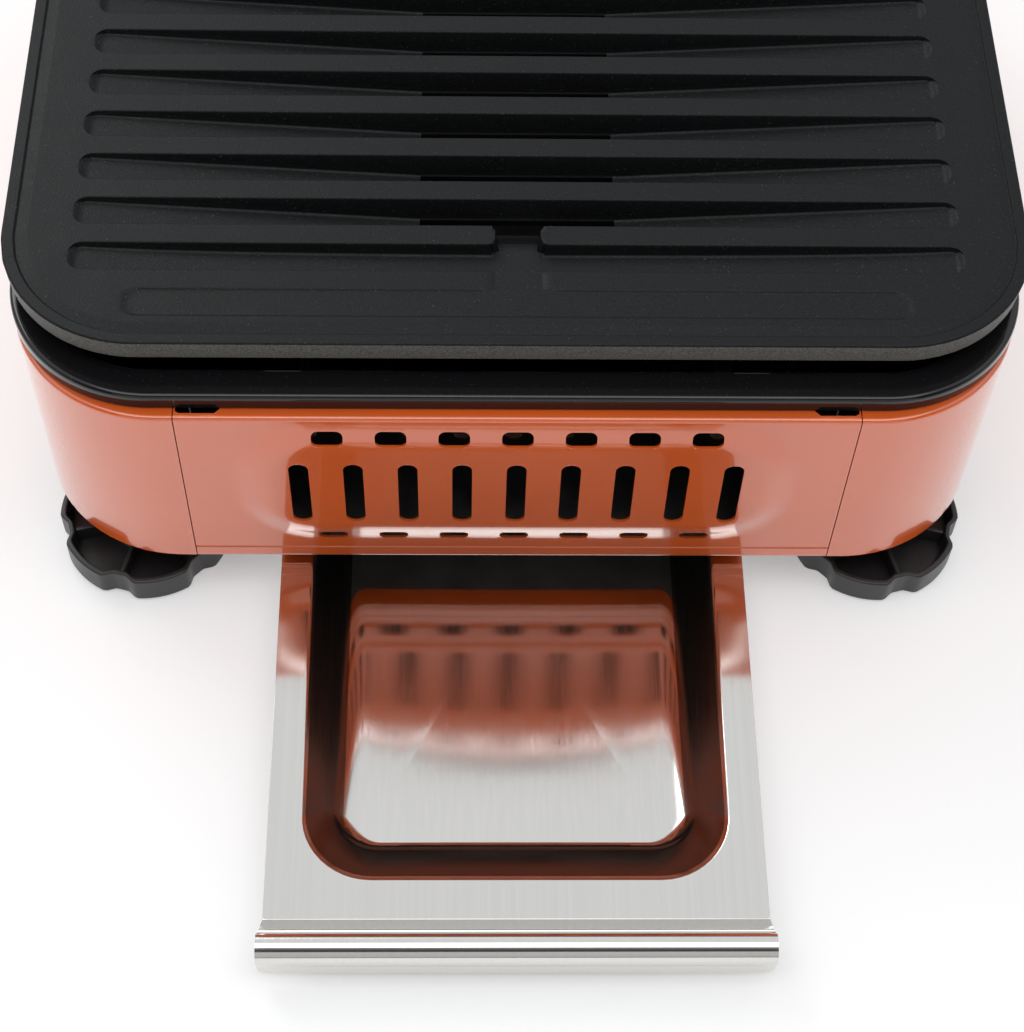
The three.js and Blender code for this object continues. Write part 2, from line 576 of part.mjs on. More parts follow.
function powerInlet() {
  const { x, z, width, height } = INLET;
  const frame = extrudeAlongY(roundedRect(width + 20, height + 5, 4), REAR + GAP, REAR + 3, 3);
  const can = extrudeAlongY(roundedRect(width - 0.8, height - 0.8, 2.3), REAR - 22, REAR + 1, 3);
  const mouth = extrudeAlongY(roundedRect(width - 4, height - 4, 3), REAR - 15, REAR + 4, 2);
  const blade = (bx, bz) => box(bx - 1, bx + 1, REAR - 16, REAR - 1, bz - 2, bz + 2);
  return join(cut(join(frame, can), mouth), blade(-7, -1), blade(0, 3), blade(7, -1)).translate([x, 0, z]);
}

function terminalBlock() {
  const z = BASE.z + BASE.thickness + GAP;
  const screws = [-14, 0, 14].map((dx) => cylinder(2.6, z + 9, z + 20, 10).translate([dx, 0, 0]));
  return cut(box(-22, 22, -10, 10, z, z + 16), ...screws).translate([125, 105, 0]);
}

function thermalCutout() {
  const z = WELL.floor - GAP;
  return join(
    cylinder(9, z - 8, z, 20), box(-14, 14, -3, 3, z - 1.2, z), box(-6, -4.6, -3, 3, z - 15, z - 7), box(4.6, 6, -3, 3, z - 15, z - 7),
  ).translate([-98, 120, 0]);
}

// The sensing bulb lies under the plate; its capillary leaves through the pan's rear wall for the thermostat.
function sensorBulb(sx) {
  const { x, radius, lineRadius, underBend, exitX, exitZ } = SENSOR;
  const z = BOSS.bottom - radius - GAP;
  const [drop, end] = [REAR - 10, DIAL.z + 15 + GAP];
  const route = [
    [x, 39, z], [x, 46, z], [x, 70, underBend + 2], [x, 84, underBend], [x, 104, underBend], [x + 5, 124, underBend - 1],
    [exitX, 146, exitZ + 1], [exitX, 158, exitZ], [exitX, 167, exitZ], [exitX - 1, drop, exitZ - 6], [96, drop + 1, 98],
    [76, drop, 78], [71.5, drop - 1, end],
  ];
  const line = tube(route.map(([px, py, pz]) => [sx * px, py, pz]), lineRadius, 34, 6);
  return join(pinY(radius, sx * x, z, -30, 40, 10), line);
}

// ---------- wiring ----------
const WIRE = 1.4;
const lead = (points) => tube(points, WIRE, 24, 6);

const mainsLead = () => lead([
  [INLET.x, REAR - 22 - GAP, INLET.z - 2], [INLET.x, REAR - 32, INLET.z - 2], [INLET.x + 2, 130, 55], [125, 112, 54], [125, 109, 50], [125, 109, 46.5 + GAP],
]);
const switchLead = () => lead([
  [4, REAR - 20 - GAP, SWITCH.z - 4], [4, REAR - 32, SWITCH.z - 5], [30, 138, 46], [70, 118, 43], [94, 106, 40], [103 - GAP, 105, 40],
]);
const elementLead = (sx) => lead([
  [56, 176.6, ELEMENT.exitZ], [56, 178, ELEMENT.exitZ - 0.6], [55.5, 179.4, 112], [53, 177, 92], [52, 173, 76], [52, 171, DIAL.z + 15 + GAP],
].map(([x, y, z]) => [sx * x, y, z]));

// ---------- assembly ----------
addPart("griddle_plate", griddlePlate(), MATERIAL.coating);
addPart("inner_pan", innerPan(), MATERIAL.enamel);
addPart("body_shell", bodyShell(), MATERIAL.orange);
addPart("front_panel", frontPanel(), MATERIAL.orange);
addPart("base_pan", basePan(), MATERIAL.galvanised);
addPart("grease_chute", greaseChute(), MATERIAL.stainless);
addPart("drip_tray", dripTray(), MATERIAL.stainless);
for (const [side, sx] of SIDES) {
  addPart(`tray_rail_${side}`, trayRail(sx), MATERIAL.zinc);
  addPart(`heat_reflector_${side}`, reflector(sx), MATERIAL.stainless);
  addPart(`heating_element_${side}`, heatingElement(sx), MATERIAL.sheath);
  addPart(`thermostat_${side}`, thermostat(sx), MATERIAL.porcelain);
  addPart(`thermostat_shaft_${side}`, thermostatShaft(sx), MATERIAL.zinc);
  addPart(`control_dial_${side}`, controlDial(sx), MATERIAL.plastic);
  addPart(`pilot_lens_${side}`, pilotLens(sx), MATERIAL.lens);
  addPart(`pilot_lamp_${side}`, pilotLamp(sx), MATERIAL.porcelain);
  addPart(`sensor_bulb_${side}`, sensorBulb(sx), MATERIAL.copper);
  addPart(`element_lead_${side}`, elementLead(sx), MATERIAL.insulation);
}
for (const [corner, sx, sy] of CORNERS) {
  const phase = sx * sy > 0 ? FOOT.lobePhase : FOOT.lobePhase - 30;
  const place = (solid) => solid.translate([sx * FOOT.x, sy * FOOT.y, 0]);
  addPart(`foot_knob_${corner}`, place(footKnob(phase)), MATERIAL.plastic);
  addPart(`foot_stud_${corner}`, place(footStud()), MATERIAL.zinc);
  addPart(`weld_nut_${corner}`, place(weldNut()), MATERIAL.zinc);
  addPart(`plate_support_${corner}`, plateStrap(sx * POST.x, sy, POST.width), MATERIAL.stainless);
  addPart(`element_bracket_${corner}`, elementBracket(sx, sy), MATERIAL.stainless);
}
addPart("plate_locator_front", plateStrap(0, -1, LOCATOR.width), MATERIAL.stainless);
addPart("plate_locator_rear", plateStrap(0, 1, LOCATOR.width), MATERIAL.stainless);
addPart("switch_housing", switchHousing(), MATERIAL.plastic);
addPart("switch_rocker", switchRocker(), MATERIAL.lens);
addPart("power_inlet", powerInlet(), MATERIAL.plastic);
addPart("terminal_block", terminalBlock(), MATERIAL.porcelain);
addPart("thermal_cutout", thermalCutout(), MATERIAL.porcelain);
addPart("mains_lead", mainsLead(), MATERIAL.insulation);
addPart("switch_lead", switchLead(), MATERIAL.insulation);

export default griddle;
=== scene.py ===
"""Looks of the tabletop electric griddle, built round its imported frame. The drip tray is towards -Y."""
import json
import math

import bmesh
import bpy
import numpy as np
from mathutils import Matrix, Vector
from mathutils.geometry import delaunay_2d_cdt


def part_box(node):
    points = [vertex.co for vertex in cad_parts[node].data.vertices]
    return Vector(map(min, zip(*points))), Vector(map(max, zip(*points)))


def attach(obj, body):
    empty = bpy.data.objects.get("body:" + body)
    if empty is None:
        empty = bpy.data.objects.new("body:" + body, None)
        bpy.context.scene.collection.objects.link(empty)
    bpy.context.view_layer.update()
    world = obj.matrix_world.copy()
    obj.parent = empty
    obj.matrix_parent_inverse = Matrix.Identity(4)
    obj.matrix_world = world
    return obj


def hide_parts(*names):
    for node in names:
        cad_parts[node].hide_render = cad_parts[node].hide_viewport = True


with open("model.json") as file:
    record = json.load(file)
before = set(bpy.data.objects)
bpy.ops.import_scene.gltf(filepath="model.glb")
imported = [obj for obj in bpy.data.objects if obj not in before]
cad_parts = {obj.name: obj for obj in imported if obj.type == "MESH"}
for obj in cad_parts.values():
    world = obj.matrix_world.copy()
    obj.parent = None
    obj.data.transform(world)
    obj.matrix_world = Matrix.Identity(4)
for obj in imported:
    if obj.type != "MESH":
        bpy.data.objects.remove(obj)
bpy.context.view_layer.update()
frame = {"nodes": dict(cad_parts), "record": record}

MM = 0.001


def box_mm(node_name):
    """The lowest and the highest corner of a CAD node, in mm."""
    low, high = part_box(node_name)
    return [c / MM for c in low], [c / MM for c in high]


shell_low, shell_high = box_mm("body_shell")
FRONT, REAR = shell_low[1], shell_high[1]  # the housing's outer faces
MID = (FRONT + REAR) / 2
HALF_X, HALF_Y = shell_high[0], (REAR - FRONT) / 2
BOTTOM, TOP = shell_low[2], shell_high[2]
SHEET = 1.2  # thickness of the housing's and the pan's sheet


# ------------------------------ mesh helpers, all in mm
def shade_smooth(mesh):
    mesh.polygons.foreach_set("use_smooth", [True] * len(mesh.polygons))


def in_scene(name, data):
    """A new object for a mesh, a light or the camera."""
    piece = bpy.data.objects.new(name, data)
    bpy.context.scene.collection.objects.link(piece)
    return piece


def add_mesh(name, verts, faces):
    """A smoothly shaded object from points and faces, its faces turned to one side."""
    mesh = bpy.data.meshes.new(name)
    mesh.from_pydata([tuple(c * MM for c in v) for v in verts], [], faces)
    mesh.validate()
    bm = bmesh.new()
    bm.from_mesh(mesh)
    bmesh.ops.recalc_face_normals(bm, faces=bm.faces)
    bm.to_mesh(mesh)
    bm.free()
    shade_smooth(mesh)
    return in_scene(name, mesh)


def sharpen(piece, degrees):
    """Splits the shading at edges sharper than this, and weights the rest by face area."""
    piece.data.set_sharp_from_angle(angle=math.radians(degrees))
    piece.modifiers.new("weighted", "WEIGHTED_NORMAL").keep_sharp = True
    return piece


def bevelled(piece, width, degrees, segments=2):
    """Rounds the edges that are sharper than this."""
    modifier = piece.modifiers.new("bevel", "BEVEL")
    modifier.width = width * MM
    modifier.segments = segments
    modifier.limit_method = "ANGLE"
    modifier.angle_limit = math.radians(degrees)
    return piece


def joined(name, pieces):
    """Several pieces as one object, with their modifiers applied."""
    graph = bpy.context.evaluated_depsgraph_get()
    bm = bmesh.new()
    materials = []
    for piece in pieces:
        shown = bpy.data.meshes.new_from_object(piece.evaluated_get(graph))
        offset = len(materials)
        materials += list(shown.materials) or [None]
        start = len(bm.faces)
        bm.from_mesh(shown)
        bm.faces.ensure_lookup_table()
        for face in bm.faces[start:]:
            face.material_index += offset
    mesh = bpy.data.meshes.new(name)
    bm.to_mesh(mesh)
    bm.free()
    for look in materials:
        mesh.materials.append(look)
    result = in_scene(name, mesh)
    for piece in pieces:
        bpy.data.objects.remove(piece)
    return result


def facing(piece, direction, pick):
    """Drops a sheet's loose points, and turns it over if the picked face looks the other way."""
    bm = bmesh.new()
    bm.from_mesh(piece.data)
    bmesh.ops.delete(bm, geom=[v for v in bm.verts if not v.link_faces], context="VERTS")
    bm.faces.ensure_lookup_table()
    if pick(bm.faces).normal.dot(direction) < 0:
        bmesh.ops.reverse_faces(bm, faces=bm.faces)
    bm.to_mesh(piece.data)
    bm.free()
    shade_smooth(piece.data)
    return piece


def thickened(piece, sheet):
    """Gives a sheet its thickness behind its outer face and eases its cut edges."""
    modifier = piece.modifiers.new("sheet", "SOLIDIFY")
    modifier.thickness = sheet * MM
    modifier.offset = -1
    modifier.use_even_offset = True
    bevelled(piece, 0.34, 60)
    name = piece.name
    piece.name = name + "_flat"
    return sharpen(joined(name, [piece]), 40)


def loft(name, rings, closed_rings=True, closed_path=False, caps=(False, False)):
    """A surface through rings of equal length. caps says whether the first and the last are filled."""
    n = len(rings[0])
    faces = []
    for i in range(len(rings) - (0 if closed_path else 1)):
        j = (i + 1) % len(rings)
        for k in range(n - (0 if closed_rings else 1)):
            m = (k + 1) % n
            faces.append((i * n + k, i * n + m, j * n + m, j * n + k))
    if caps[0]:
        faces.append(tuple(range(n))[::-1])
    if caps[1]:
        faces.append(tuple((len(rings) - 1) * n + k for k in range(n)))
    return add_mesh(name, [point for ring in rings for point in ring], faces)


def lathe(name, profile, x, y, turns, radius_at):
    """Turns an (r, z) profile about an upright axis. radius_at(angle, r) varies the radius round it."""
    rings = []
    for r, z in profile:
        ring = []
        for k in range(turns):
            a = 2 * math.pi * k / turns
            reach = radius_at(a, r)
            ring.append((x + reach * math.cos(a), y + reach * math.sin(a), z))
        rings.append(ring)
    return loft(name, rings)


def box_mesh(name, x0, x1, y0, y1, z0, z1, bevel):
    verts = [(x, y, z) for x in (x0, x1) for y in (y0, y1) for z in (z0, z1)]
    faces = [(0, 1, 3, 2), (4, 6, 7, 5), (0, 4, 5, 1), (2, 3, 7, 6), (0, 2, 6, 4), (1, 5, 7, 3)]
    return sharpen(bevelled(add_mesh(name, verts, faces), bevel, 30), 60)


# ------------------------------ outlines, all in mm
def arc(cx, cy, radius, start, end, steps):
    """Points along an arc, from one angle to another in degrees."""
    angles = [math.radians(start + (end - start) * k / steps) for k in range(steps + 1)]
    return [(cx + radius * math.cos(a), cy + radius * math.sin(a)) for a in angles]


def between(p, q, shares):
    """Points on the line from p to q, at these shares of its length."""
    return [(p[0] + (q[0] - p[0]) * t, p[1] + (q[1] - p[1]) * t) for t in shares]


def rounded_rect(half_x, half_y, radius, corner=12, straight=1, centre=(0, 0)):
    """Points and outward normals round a rounded rectangle, with so many steps in each corner and side."""
    cx, cy = half_x - radius, half_y - radius
    corners = [(cx, cy, 0), (-cx, cy, 90), (-cx, -cy, 180), (cx, -cy, 270)]
    out = []
    for i, (ox, oy, start) in enumerate(corners):
        for k in range(corner + 1):
            a = math.radians(start + 90 * k / corner)
            out.append((ox + radius * math.cos(a), oy + radius * math.sin(a), math.cos(a), math.sin(a)))
        x, y, nx, ny = out[-1]
        next_x, next_y, next_start = corners[(i + 1) % 4]
        a = math.radians(next_start)
        end = next_x + radius * math.cos(a), next_y + radius * math.sin(a)
        side = between((x, y), end, [k / straight for k in range(1, straight)])
        out += [(px, py, nx, ny) for px, py in side]
    return [(x + centre[0], y + centre[1], nx, ny) for x, y, nx, ny in out]


def rings_from(outline, profile):
    """One ring for each (outward offset, z) of a profile."""
    return [[(x + nx * d, y + ny * d, z) for x, y, nx, ny in outline] for d, z in profile]


def fillet(points, radii, steps, closed=False):
    """A line with its corners rounded, one radius for each point. The ends of an open line stay sharp."""
    out, n = [], len(points)
    for i, (p, r) in enumerate(zip(points, radii)):
        if r <= 0 or (not closed and i in (0, n - 1)):
            out.append(tuple(p))
            continue
        p = np.array(p, float)
        a, b = np.array(points[i - 1], float) - p, np.array(points[(i + 1) % n], float) - p
        la, lb = np.linalg.norm(a), np.linalg.norm(b)
        a, b = a / la, b / lb
        half = math.acos(max(-1, min(1, float(a @ b)))) / 2
        if half > math.radians(89.5):
            out.append(tuple(p))
            continue
        t = min(r / math.tan(half), 0.49 * la, 0.49 * lb)
        r = t * math.tan(half)
        middle = (a + b) / np.linalg.norm(a + b)
        centre = p + middle * r / math.sin(half)
        start, end = p + a * t - centre, p + b * t - centre
        a0, a1 = math.atan2(start[1], start[0]), math.atan2(end[1], end[0])
        turn = (a1 - a0 + math.pi) % (2 * math.pi) - math.pi
        for k in range(steps + 1):
            angle = a0 + turn * k / steps
            out.append((centre[0] + r * math.cos(angle), centre[1] + r * math.sin(angle)))
    return out


def smooth(t):
    """An S-shaped step from 0 to 1."""
    t = min(1.0, max(0.0, t))
    return t * t * (3 - 2 * t)


def outside_box(x, y, half_x, half_y, radius=0.0):
    """Signed distance outside a rounded rectangle about the origin."""
    qx, qy = abs(x) - half_x + radius, abs(y) - half_y + radius
    return math.hypot(max(qx, 0), max(qy, 0)) + min(max(qx, qy), 0) - radius


# ------------------------------ camera
CAMERA_PLACE = Vector((-22.3, FRONT - 478.3, 804.8)) * MM
CAMERA_RIGHT = Vector((0.99971, -0.01024, 0.02190))
CAMERA_UP = Vector((-0.00318, 0.84226, 0.53906))
CAMERA_BACK = Vector((-0.02396, -0.53897, 0.84199))
camera_data = bpy.data.cameras.new("camera")
camera_data.lens = 76.0
camera_data.sensor_width = 36
camera_data.clip_start = 0.01
camera_data.clip_end = 50
camera = in_scene("camera", camera_data)
bpy.context.scene.camera = camera
camera_turn = Matrix((CAMERA_RIGHT, CAMERA_UP, CAMERA_BACK)).transposed().to_4x4()
camera.matrix_world = Matrix.Translation(CAMERA_PLACE) @ camera_turn


# ------------------------------ griddle plate
plate_low, plate_high = box_mm("griddle_plate")
PLATE_X, PLATE_Y = plate_high[0], (plate_high[1] - plate_low[1]) / 2
PLATE_MID = (plate_high[1] + plate_low[1]) / 2
PLATE_TOP, PLATE_BASE = plate_high[2], plate_low[2]
PLATE_EDGE = PLATE_TOP - 10.5  # the underside outside the boss
PLATE_RADIUS = 55
BOSS_X, BOSS_Y, BOSS_RADIUS = 177.5, 143.5, 35.5
FIELD_INSET = 10.5  # from the plate's edge to its field, across the edge channel
FIELD_X, FIELD_Y, FIELD_RADIUS = PLATE_X - FIELD_INSET, PLATE_Y - FIELD_INSET, PLATE_RADIUS - FIELD_INSET
CORNER_X, CORNER_Y = FIELD_X - FIELD_RADIUS, FIELD_Y - FIELD_RADIUS  # the middles of its rounded corners
PITCH, GROOVES, GROOVE_HALF, GROOVE_REACH, TIP_RADIUS = 22.7, 12, 6.6, 173.3, 5.5
OUTER = (GROOVES - 1) / 2 * PITCH  # the middle of the outermost grooves
SLOT_REACH, SLOT_HALF = 39.0, 4.0
WALL_LEAN = 12  # degrees
REST_FROM_EDGE, REST_X, REST_Y, REST_RADIUS, REST_DEPTH = 20.0, 151.0, 7.0, 6.5, 0.8
NECK_HALF, NECK_BLEND = 10.5, 5.5
GAP_HALF, GAP_FLARE = 8.9, 2.6


def groove_shape(index, x):
    """A groove's depth and half width at x. It falls from its rounded ends to the drain slot."""
    end = GROOVE_REACH - abs(x)
    if end <= 0:
        return 0.0, GROOVE_HALF - TIP_RADIUS
    if index in (0, GROOVES - 1):  # the outermost grooves level out and have no slot
        depth = 2.0 + 3.1 * (1 - math.exp(-end / 48)) + 0.3 * end / GROOVE_REACH
    else:
        depth = 1.9 + 0.0575 * min(end, GROOVE_REACH - SLOT_REACH)
    if end < 3.4:
        depth *= smooth(0.12 + 0.88 * end / 3.4)
    if end >= TIP_RADIUS:
        return depth, GROOVE_HALF
    return depth, GROOVE_HALF - TIP_RADIUS + math.sqrt(TIP_RADIUS**2 - (TIP_RADIUS - end) ** 2)


def groove_profile(depth, half):
    """(distance from the groove's middle, z) from the land inward: convex edge, steep wall, concave foot."""
    scale = min(1.0, depth / 3.0)
    convex, concave = 0.75 * scale, 2.0 * scale
    lean = min(math.tan(math.radians(WALL_LEAN)) * depth, max(0.0, half - 0.2))
    turned = 90 - WALL_LEAN
    tangent = math.tan(math.radians(turned) / 2)
    edge = arc(half + convex * tangent, -convex, convex, 90, 90 + turned, 4)
    foot = arc(half - lean - concave * tangent, concave - depth, concave, -WALL_LEAN, -90, 6)
    wall = between(edge[-1], foot[0], (0.33, 0.67))
    inner = foot[-1][0]
    points = edge + wall + foot + [(inner * 0.6, -depth), (inner * 0.25, -depth)]
    return [(max(d, 0.02), z) for d, z in points]  # never past the middle where a shallow end narrows


def rest_area(x, y):
    """Signed distance outside the rest area at each end and its neck. y is from the plate's middle."""
    y = abs(y)
    centre = PLATE_Y - REST_FROM_EDGE
    neck_start = OUTER + 5.6
    area = outside_box(x, y - centre, REST_X, REST_Y, REST_RADIUS)
    neck = outside_box(x, y - (neck_start + centre) / 2, NECK_HALF, (centre - neck_start) / 2)
    h = max(NECK_BLEND - abs(area - neck), 0) / NECK_BLEND
    return min(area, neck) - h * h * NECK_BLEND / 4


def drain_gap(x, y):
    """Depth of the gap through the outermost land into the first deep groove."""
    y = abs(y)
    land_low, land_high = OUTER - PITCH + GROOVE_HALF, OUTER - GROOVE_HALF
    if not land_low - 2.4 <= y <= OUTER - 1.0:
        return 0.0
    edge = min(max(y - land_low, 0), max(land_high - y, 0))
    flare = GAP_FLARE - math.sqrt(max(0, GAP_FLARE**2 - (GAP_FLARE - min(edge, GAP_FLARE)) ** 2))
    inside = smooth((GAP_HALF + flare - abs(x)) / 1.5)
    along = smooth((land_high - y) / (land_high - land_low))
    return (5.3 + 2.4 * along + 0.8 * smooth((land_low + 2.5 - y) / 4)) * inside


def plate_columns():
    """Where the plate's grid has points along X: close together at gap sides, slot ends and groove ends."""
    half = {0.0, 3.0, 5.5, 9.6, 10.2, 10.6, 11.1, 11.8, 12.8, 14.5, 37.8}
    half |= {6.9 + 0.3 * k for k in range(9)} | {18 + 4.9 * k for k in range(4)}
    half |= {46 + 7.4 * k for k in range(13)}
    half |= {141.5, 153, 158, 163, 178, 183.5, FIELD_X} | {144.6 + 1.1 * k for k in range(7)}
    half |= {SLOT_REACH + d for d in (-0.5, 0, 1.2, 3)}
    half |= {GROOVE_REACH - d for d in (-2, 0, 0.25, 0.6, 1.0, 1.5, 2.1, 2.8, 3.5, 4.4, 5.5)}
    return sorted({round(sign * x, 3) for x in half for sign in (1, -1)})


def plate_rows():
    """Rows from front to rear, as (y, groove or None, side of the groove's wall or 0, profile point)."""
    rest = PLATE_Y - REST_FROM_EDGE
    edge = [FIELD_Y, FIELD_Y - 1.2]
    edge += [rest + REST_Y + d for d in (0.6, 0.3, 0.0, -0.3, -0.6, -0.9, -1.2, -1.8)]
    edge += [rest + d for d in (3, 0, -3)]
    edge += [rest - REST_Y + d for d in (1.8, 1.2, 0.9, 0.6, 0.3, 0.0, -0.3, -0.6)]
    edge += [OUTER + GROOVE_HALF + 1.4]
    count = len(groove_profile(1, GROOVE_HALF))
    rows = [(-y, None, 0, 0) for y in edge]
    for i in range(GROOVES):
        centre = -OUTER + i * PITCH
        rows += [(centre, i, -1, k) for k in range(count)]
        rows += [(centre, i, 0, 0)]
        rows += [(centre, i, 1, k) for k in reversed(range(count))]
        if i < GROOVES - 1:
            rows += [(centre + PITCH / 2 + d, None, 0, 0) for d in (-2.6, -0.9, 0.9, 2.6)]
    return rows + [(y, None, 0, 0) for y in reversed(edge)]


def plate_grid(xs):
    """The cooking face's points, measured from the middle of the plate's top."""
    rows = plate_rows()
    grid = np.zeros((len(rows), len(xs), 3))
    for j, x in enumerate(xs):
        shapes = [groove_shape(i, x) for i in range(GROOVES)]
        profiles = [groove_profile(depth, half) for depth, half in shapes]
        for r, (y, groove, wall, k) in enumerate(rows):
            z = 0.0
            if wall:
                d, z = profiles[groove][k]
                y += wall * d
            elif groove is not None:
                z = -shapes[groove][0]
            gap, rest = drain_gap(x, y), rest_area(x, y)
            if gap > 0:
                z = min(z, -gap)
            if rest < 0 and abs(y) > OUTER + GROOVE_HALF - 2 and z > -1.5:
                z = min(z, -REST_DEPTH * smooth(-rest / 1.5))
            grid[r, j] = (x, y, z)
    return grid


def into_corner(x, y):
    """A point past one of the field's rounded corners, moved onto it; None for any other point."""
    dx, dy = abs(x) - CORNER_X, abs(y) - CORNER_Y
    length = math.hypot(dx, dy)
    if dx <= 0 or dy <= 0 or length <= FIELD_RADIUS:
        return None
    return (math.copysign(CORNER_X + dx / length * FIELD_RADIUS, x),
            math.copysign(CORNER_Y + dy / length * FIELD_RADIUS, y))


def in_slot(x, y):
    """Whether a face's middle lies in a drain slot's opening."""
    groove = round((y + OUTER) / PITCH)
    across = abs(y - (groove * PITCH - OUTER))
    return 1 <= groove <= GROOVES - 2 and abs(x) < SLOT_REACH - 0.5 and across < SLOT_HALF


def cooking_face(bm):
    """The field with its lands, grooves, gaps and rests, open at the slots and trimmed at the corners."""
    xs = plate_columns()
    grid = plate_grid(xs)
    moved = {c: into_corner(*grid[c][:2]) for c in np.ndindex(grid.shape[:2])}
    cells = []
    for r in range(grid.shape[0] - 1):
        for j in range(grid.shape[1] - 1):
            cell = [(r, j), (r, j + 1), (r + 1, j + 1), (r + 1, j)]
            middle = (xs[j] + xs[j + 1]) / 2, float(np.mean([grid[c][1] for c in cell]))
            if not all(moved[c] for c in cell) and not in_slot(*middle):
                cells.append(cell)
    verts = {}
    for cell in cells:
        for c in cell:
            if c not in verts:
                x, y = moved[c] or grid[c][:2]
                verts[c] = bm.verts.new((x * MM, (y + PLATE_MID) * MM, (PLATE_TOP + grid[c][2]) * MM))
    for cell in cells:
        bm.faces.new([verts[c] for c in cell])
    bmesh.ops.remove_doubles(bm, verts=bm.verts, dist=0.01 * MM)
    bmesh.ops.dissolve_degenerate(bm, dist=1e-7, edges=bm.edges)


def open_loops(bm):
    """Closed loops of edges that have one face."""
    left = {e for e in bm.edges if len(e.link_faces) == 1}
    loops = []
    while left:
        e = left.pop()
        start, v = e.verts
        loop = [start, v]
        while True:
            following = next((x for x in v.link_edges if x in left), None)
            if following is None:
                break
            left.discard(following)
            v = following.other_vert(v)
            if v is loop[0]:
                break
            loop.append(v)
        loops.append(loop)
    return loops


def pairs(loop):
    return zip(loop, loop[1:] + loop[:1])


def bridge(bm, first, second):
    """Faces between two rings of equal length. A face that is there already, or has no width, is left out."""
    for (a, b), (c, d) in zip(pairs(first), pairs(second)):
        try:
            bm.faces.new((a, b, d, c))
        except ValueError:
            pass


def next_ring(bm, ring, z, widen, centre):
    """A ring at height z, wider than the last on each side, and the faces between them."""
    following = []
    for v in ring:
        x = v.co.x + widen * MM * math.copysign(1, v.co.x - centre.x)
        y = v.co.y + widen * MM * math.copysign(1, v.co.y - centre.y)
        following.append(bm.verts.new((x, y, z * MM)))
    bridge(bm, ring, following)
    return following


def slot_wall(bm, loop):
    """The wall down from a slot's edge, a little wider at its foot. Returns the lowest ring."""
    widen = 0.6
    centre = sum((v.co for v in loop), Vector()) / len(loop)
    ring = next_ring(bm, loop, PLATE_BASE + widen, 0, centre)
    return next_ring(bm, ring, PLATE_BASE, widen, centre)


def outward(x, y):
    """The outward normal of the field's outline at a point on it."""
    dx, dy = abs(x) - CORNER_X, abs(y) - CORNER_Y
    if dx > 0 and dy > 0:
        length = math.hypot(dx, dy)
        return math.copysign(dx / length, x), math.copysign(dy / length, y)
    return (math.copysign(1, x), 0) if dx > dy else (0, math.copysign(1, y))


def rim_wall(bm, rim):
    """The edge channel, the raised rim, the plate's side and the boss underneath. Returns the lowest ring."""
    low, boss = PLATE_EDGE - PLATE_TOP, 23  # boss is how far in the underside meets the boss
    inset_and_z = fillet(
        [(FIELD_INSET, 0), (9.8, -0.08), (5.5, -0.95), (4.7, 0), (0, 0), (0.8, low), (boss, low)],
        [0, 6, 0.5, 0.35, 1.1, 1.6, 0], 4)
    ring = rim
    for inset, z in inset_and_z[1:]:
        following = []
        for v in rim:
            x, y = v.co.x / MM, v.co.y / MM - PLATE_MID
            nx, ny = outward(x, y)
            reach = FIELD_INSET - inset
            if inset == boss:  # the boss is a rounded rectangle of its own
                x = max(-CORNER_X, min(CORNER_X, x)) * ((BOSS_X - BOSS_RADIUS) / CORNER_X)
                y = max(-CORNER_Y, min(CORNER_Y, y)) * ((BOSS_Y - BOSS_RADIUS) / CORNER_Y)
                reach = BOSS_RADIUS
            place = (x + nx * reach) * MM, (y + ny * reach + PLATE_MID) * MM, (PLATE_TOP + z) * MM
            following.append(bm.verts.new(place))
        bridge(bm, ring, following)
        ring = following
    middle = Vector((0, PLATE_MID, 0)) * MM
    for z, inset in ((PLATE_EDGE - 0.5, 0.0), (PLATE_BASE + 0.8, 0.105), (PLATE_BASE, 0.7)):
        ring = next_ring(bm, ring, z, -inset, middle)
    return ring


def griddle_plate():
    bm = bmesh.new()
    cooking_face(bm)
    loops = sorted(open_loops(bm), key=len)  # the longest is the rim, the rest are drain slots
    slot_feet = [slot_wall(bm, loop) for loop in loops[:-1]]
    base = rim_wall(bm, loops[-1])
    edges = [bm.edges.get(pair) for loop in (base, *slot_feet) for pair in pairs(loop)]
    edges = [e for e in edges if e is not None]
    bmesh.ops.triangle_fill(bm, use_beauty=True, use_dissolve=False, edges=edges)
    bmesh.ops.recalc_face_normals(bm, faces=bm.faces)
    mesh = bpy.data.meshes.new("plate_cast")
    bm.to_mesh(mesh)
    bm.free()
    shade_smooth(mesh)
    return sharpen(in_scene("plate_cast", mesh), 50)


plate = griddle_plate()


# ------------------------------ enamelled pan
RIM_RADIUS, RIM_WIDTH, RIM_SKIRT = 58.5, 14.2, 7  # its corners, its flat top, its outer edge's height
HOLE_X, HOLE_Y = 37.9, 99.4  # half sizes of the opening for the grease chute


def pan_enamel():
    low, high = box_mm("inner_pan")
    base, top = low[2], high[2]
    skirt, well, under_rim = top - RIM_SKIRT, base + SHEET, RIM_WIDTH - SHEET
    corner, straight = 28, 16
    outline = rounded_rect(high[0], (high[1] - low[1]) / 2, RIM_RADIUS, corner, straight, (0, MID))
    hole = rounded_rect(HOLE_X, HOLE_Y, 1.0, corner, straight, (0, MID))
    inside = fillet(
        [(-SHEET, skirt), (0, skirt), (0, top), (-RIM_WIDTH, top), (-RIM_WIDTH, well), (-40, well)],
        [0, 0.4, 1.9, 2.4, 7, 0], 6)
    under = fillet(
        [(-41, base), (-under_rim, base), (-under_rim, top - SHEET), (-SHEET, top - SHEET), (-SHEET, skirt)],
        [0, 8, 1.2, 0.7, 0], 5)
    rings = rings_from(outline, inside)
    rings += [[(x, y, z) for x, y, _, _ in hole] for z in (well, base)]
    rings += rings_from(outline, under[:-1])
    return sharpen(loft("pan_enamel", rings, closed_path=True), 40)


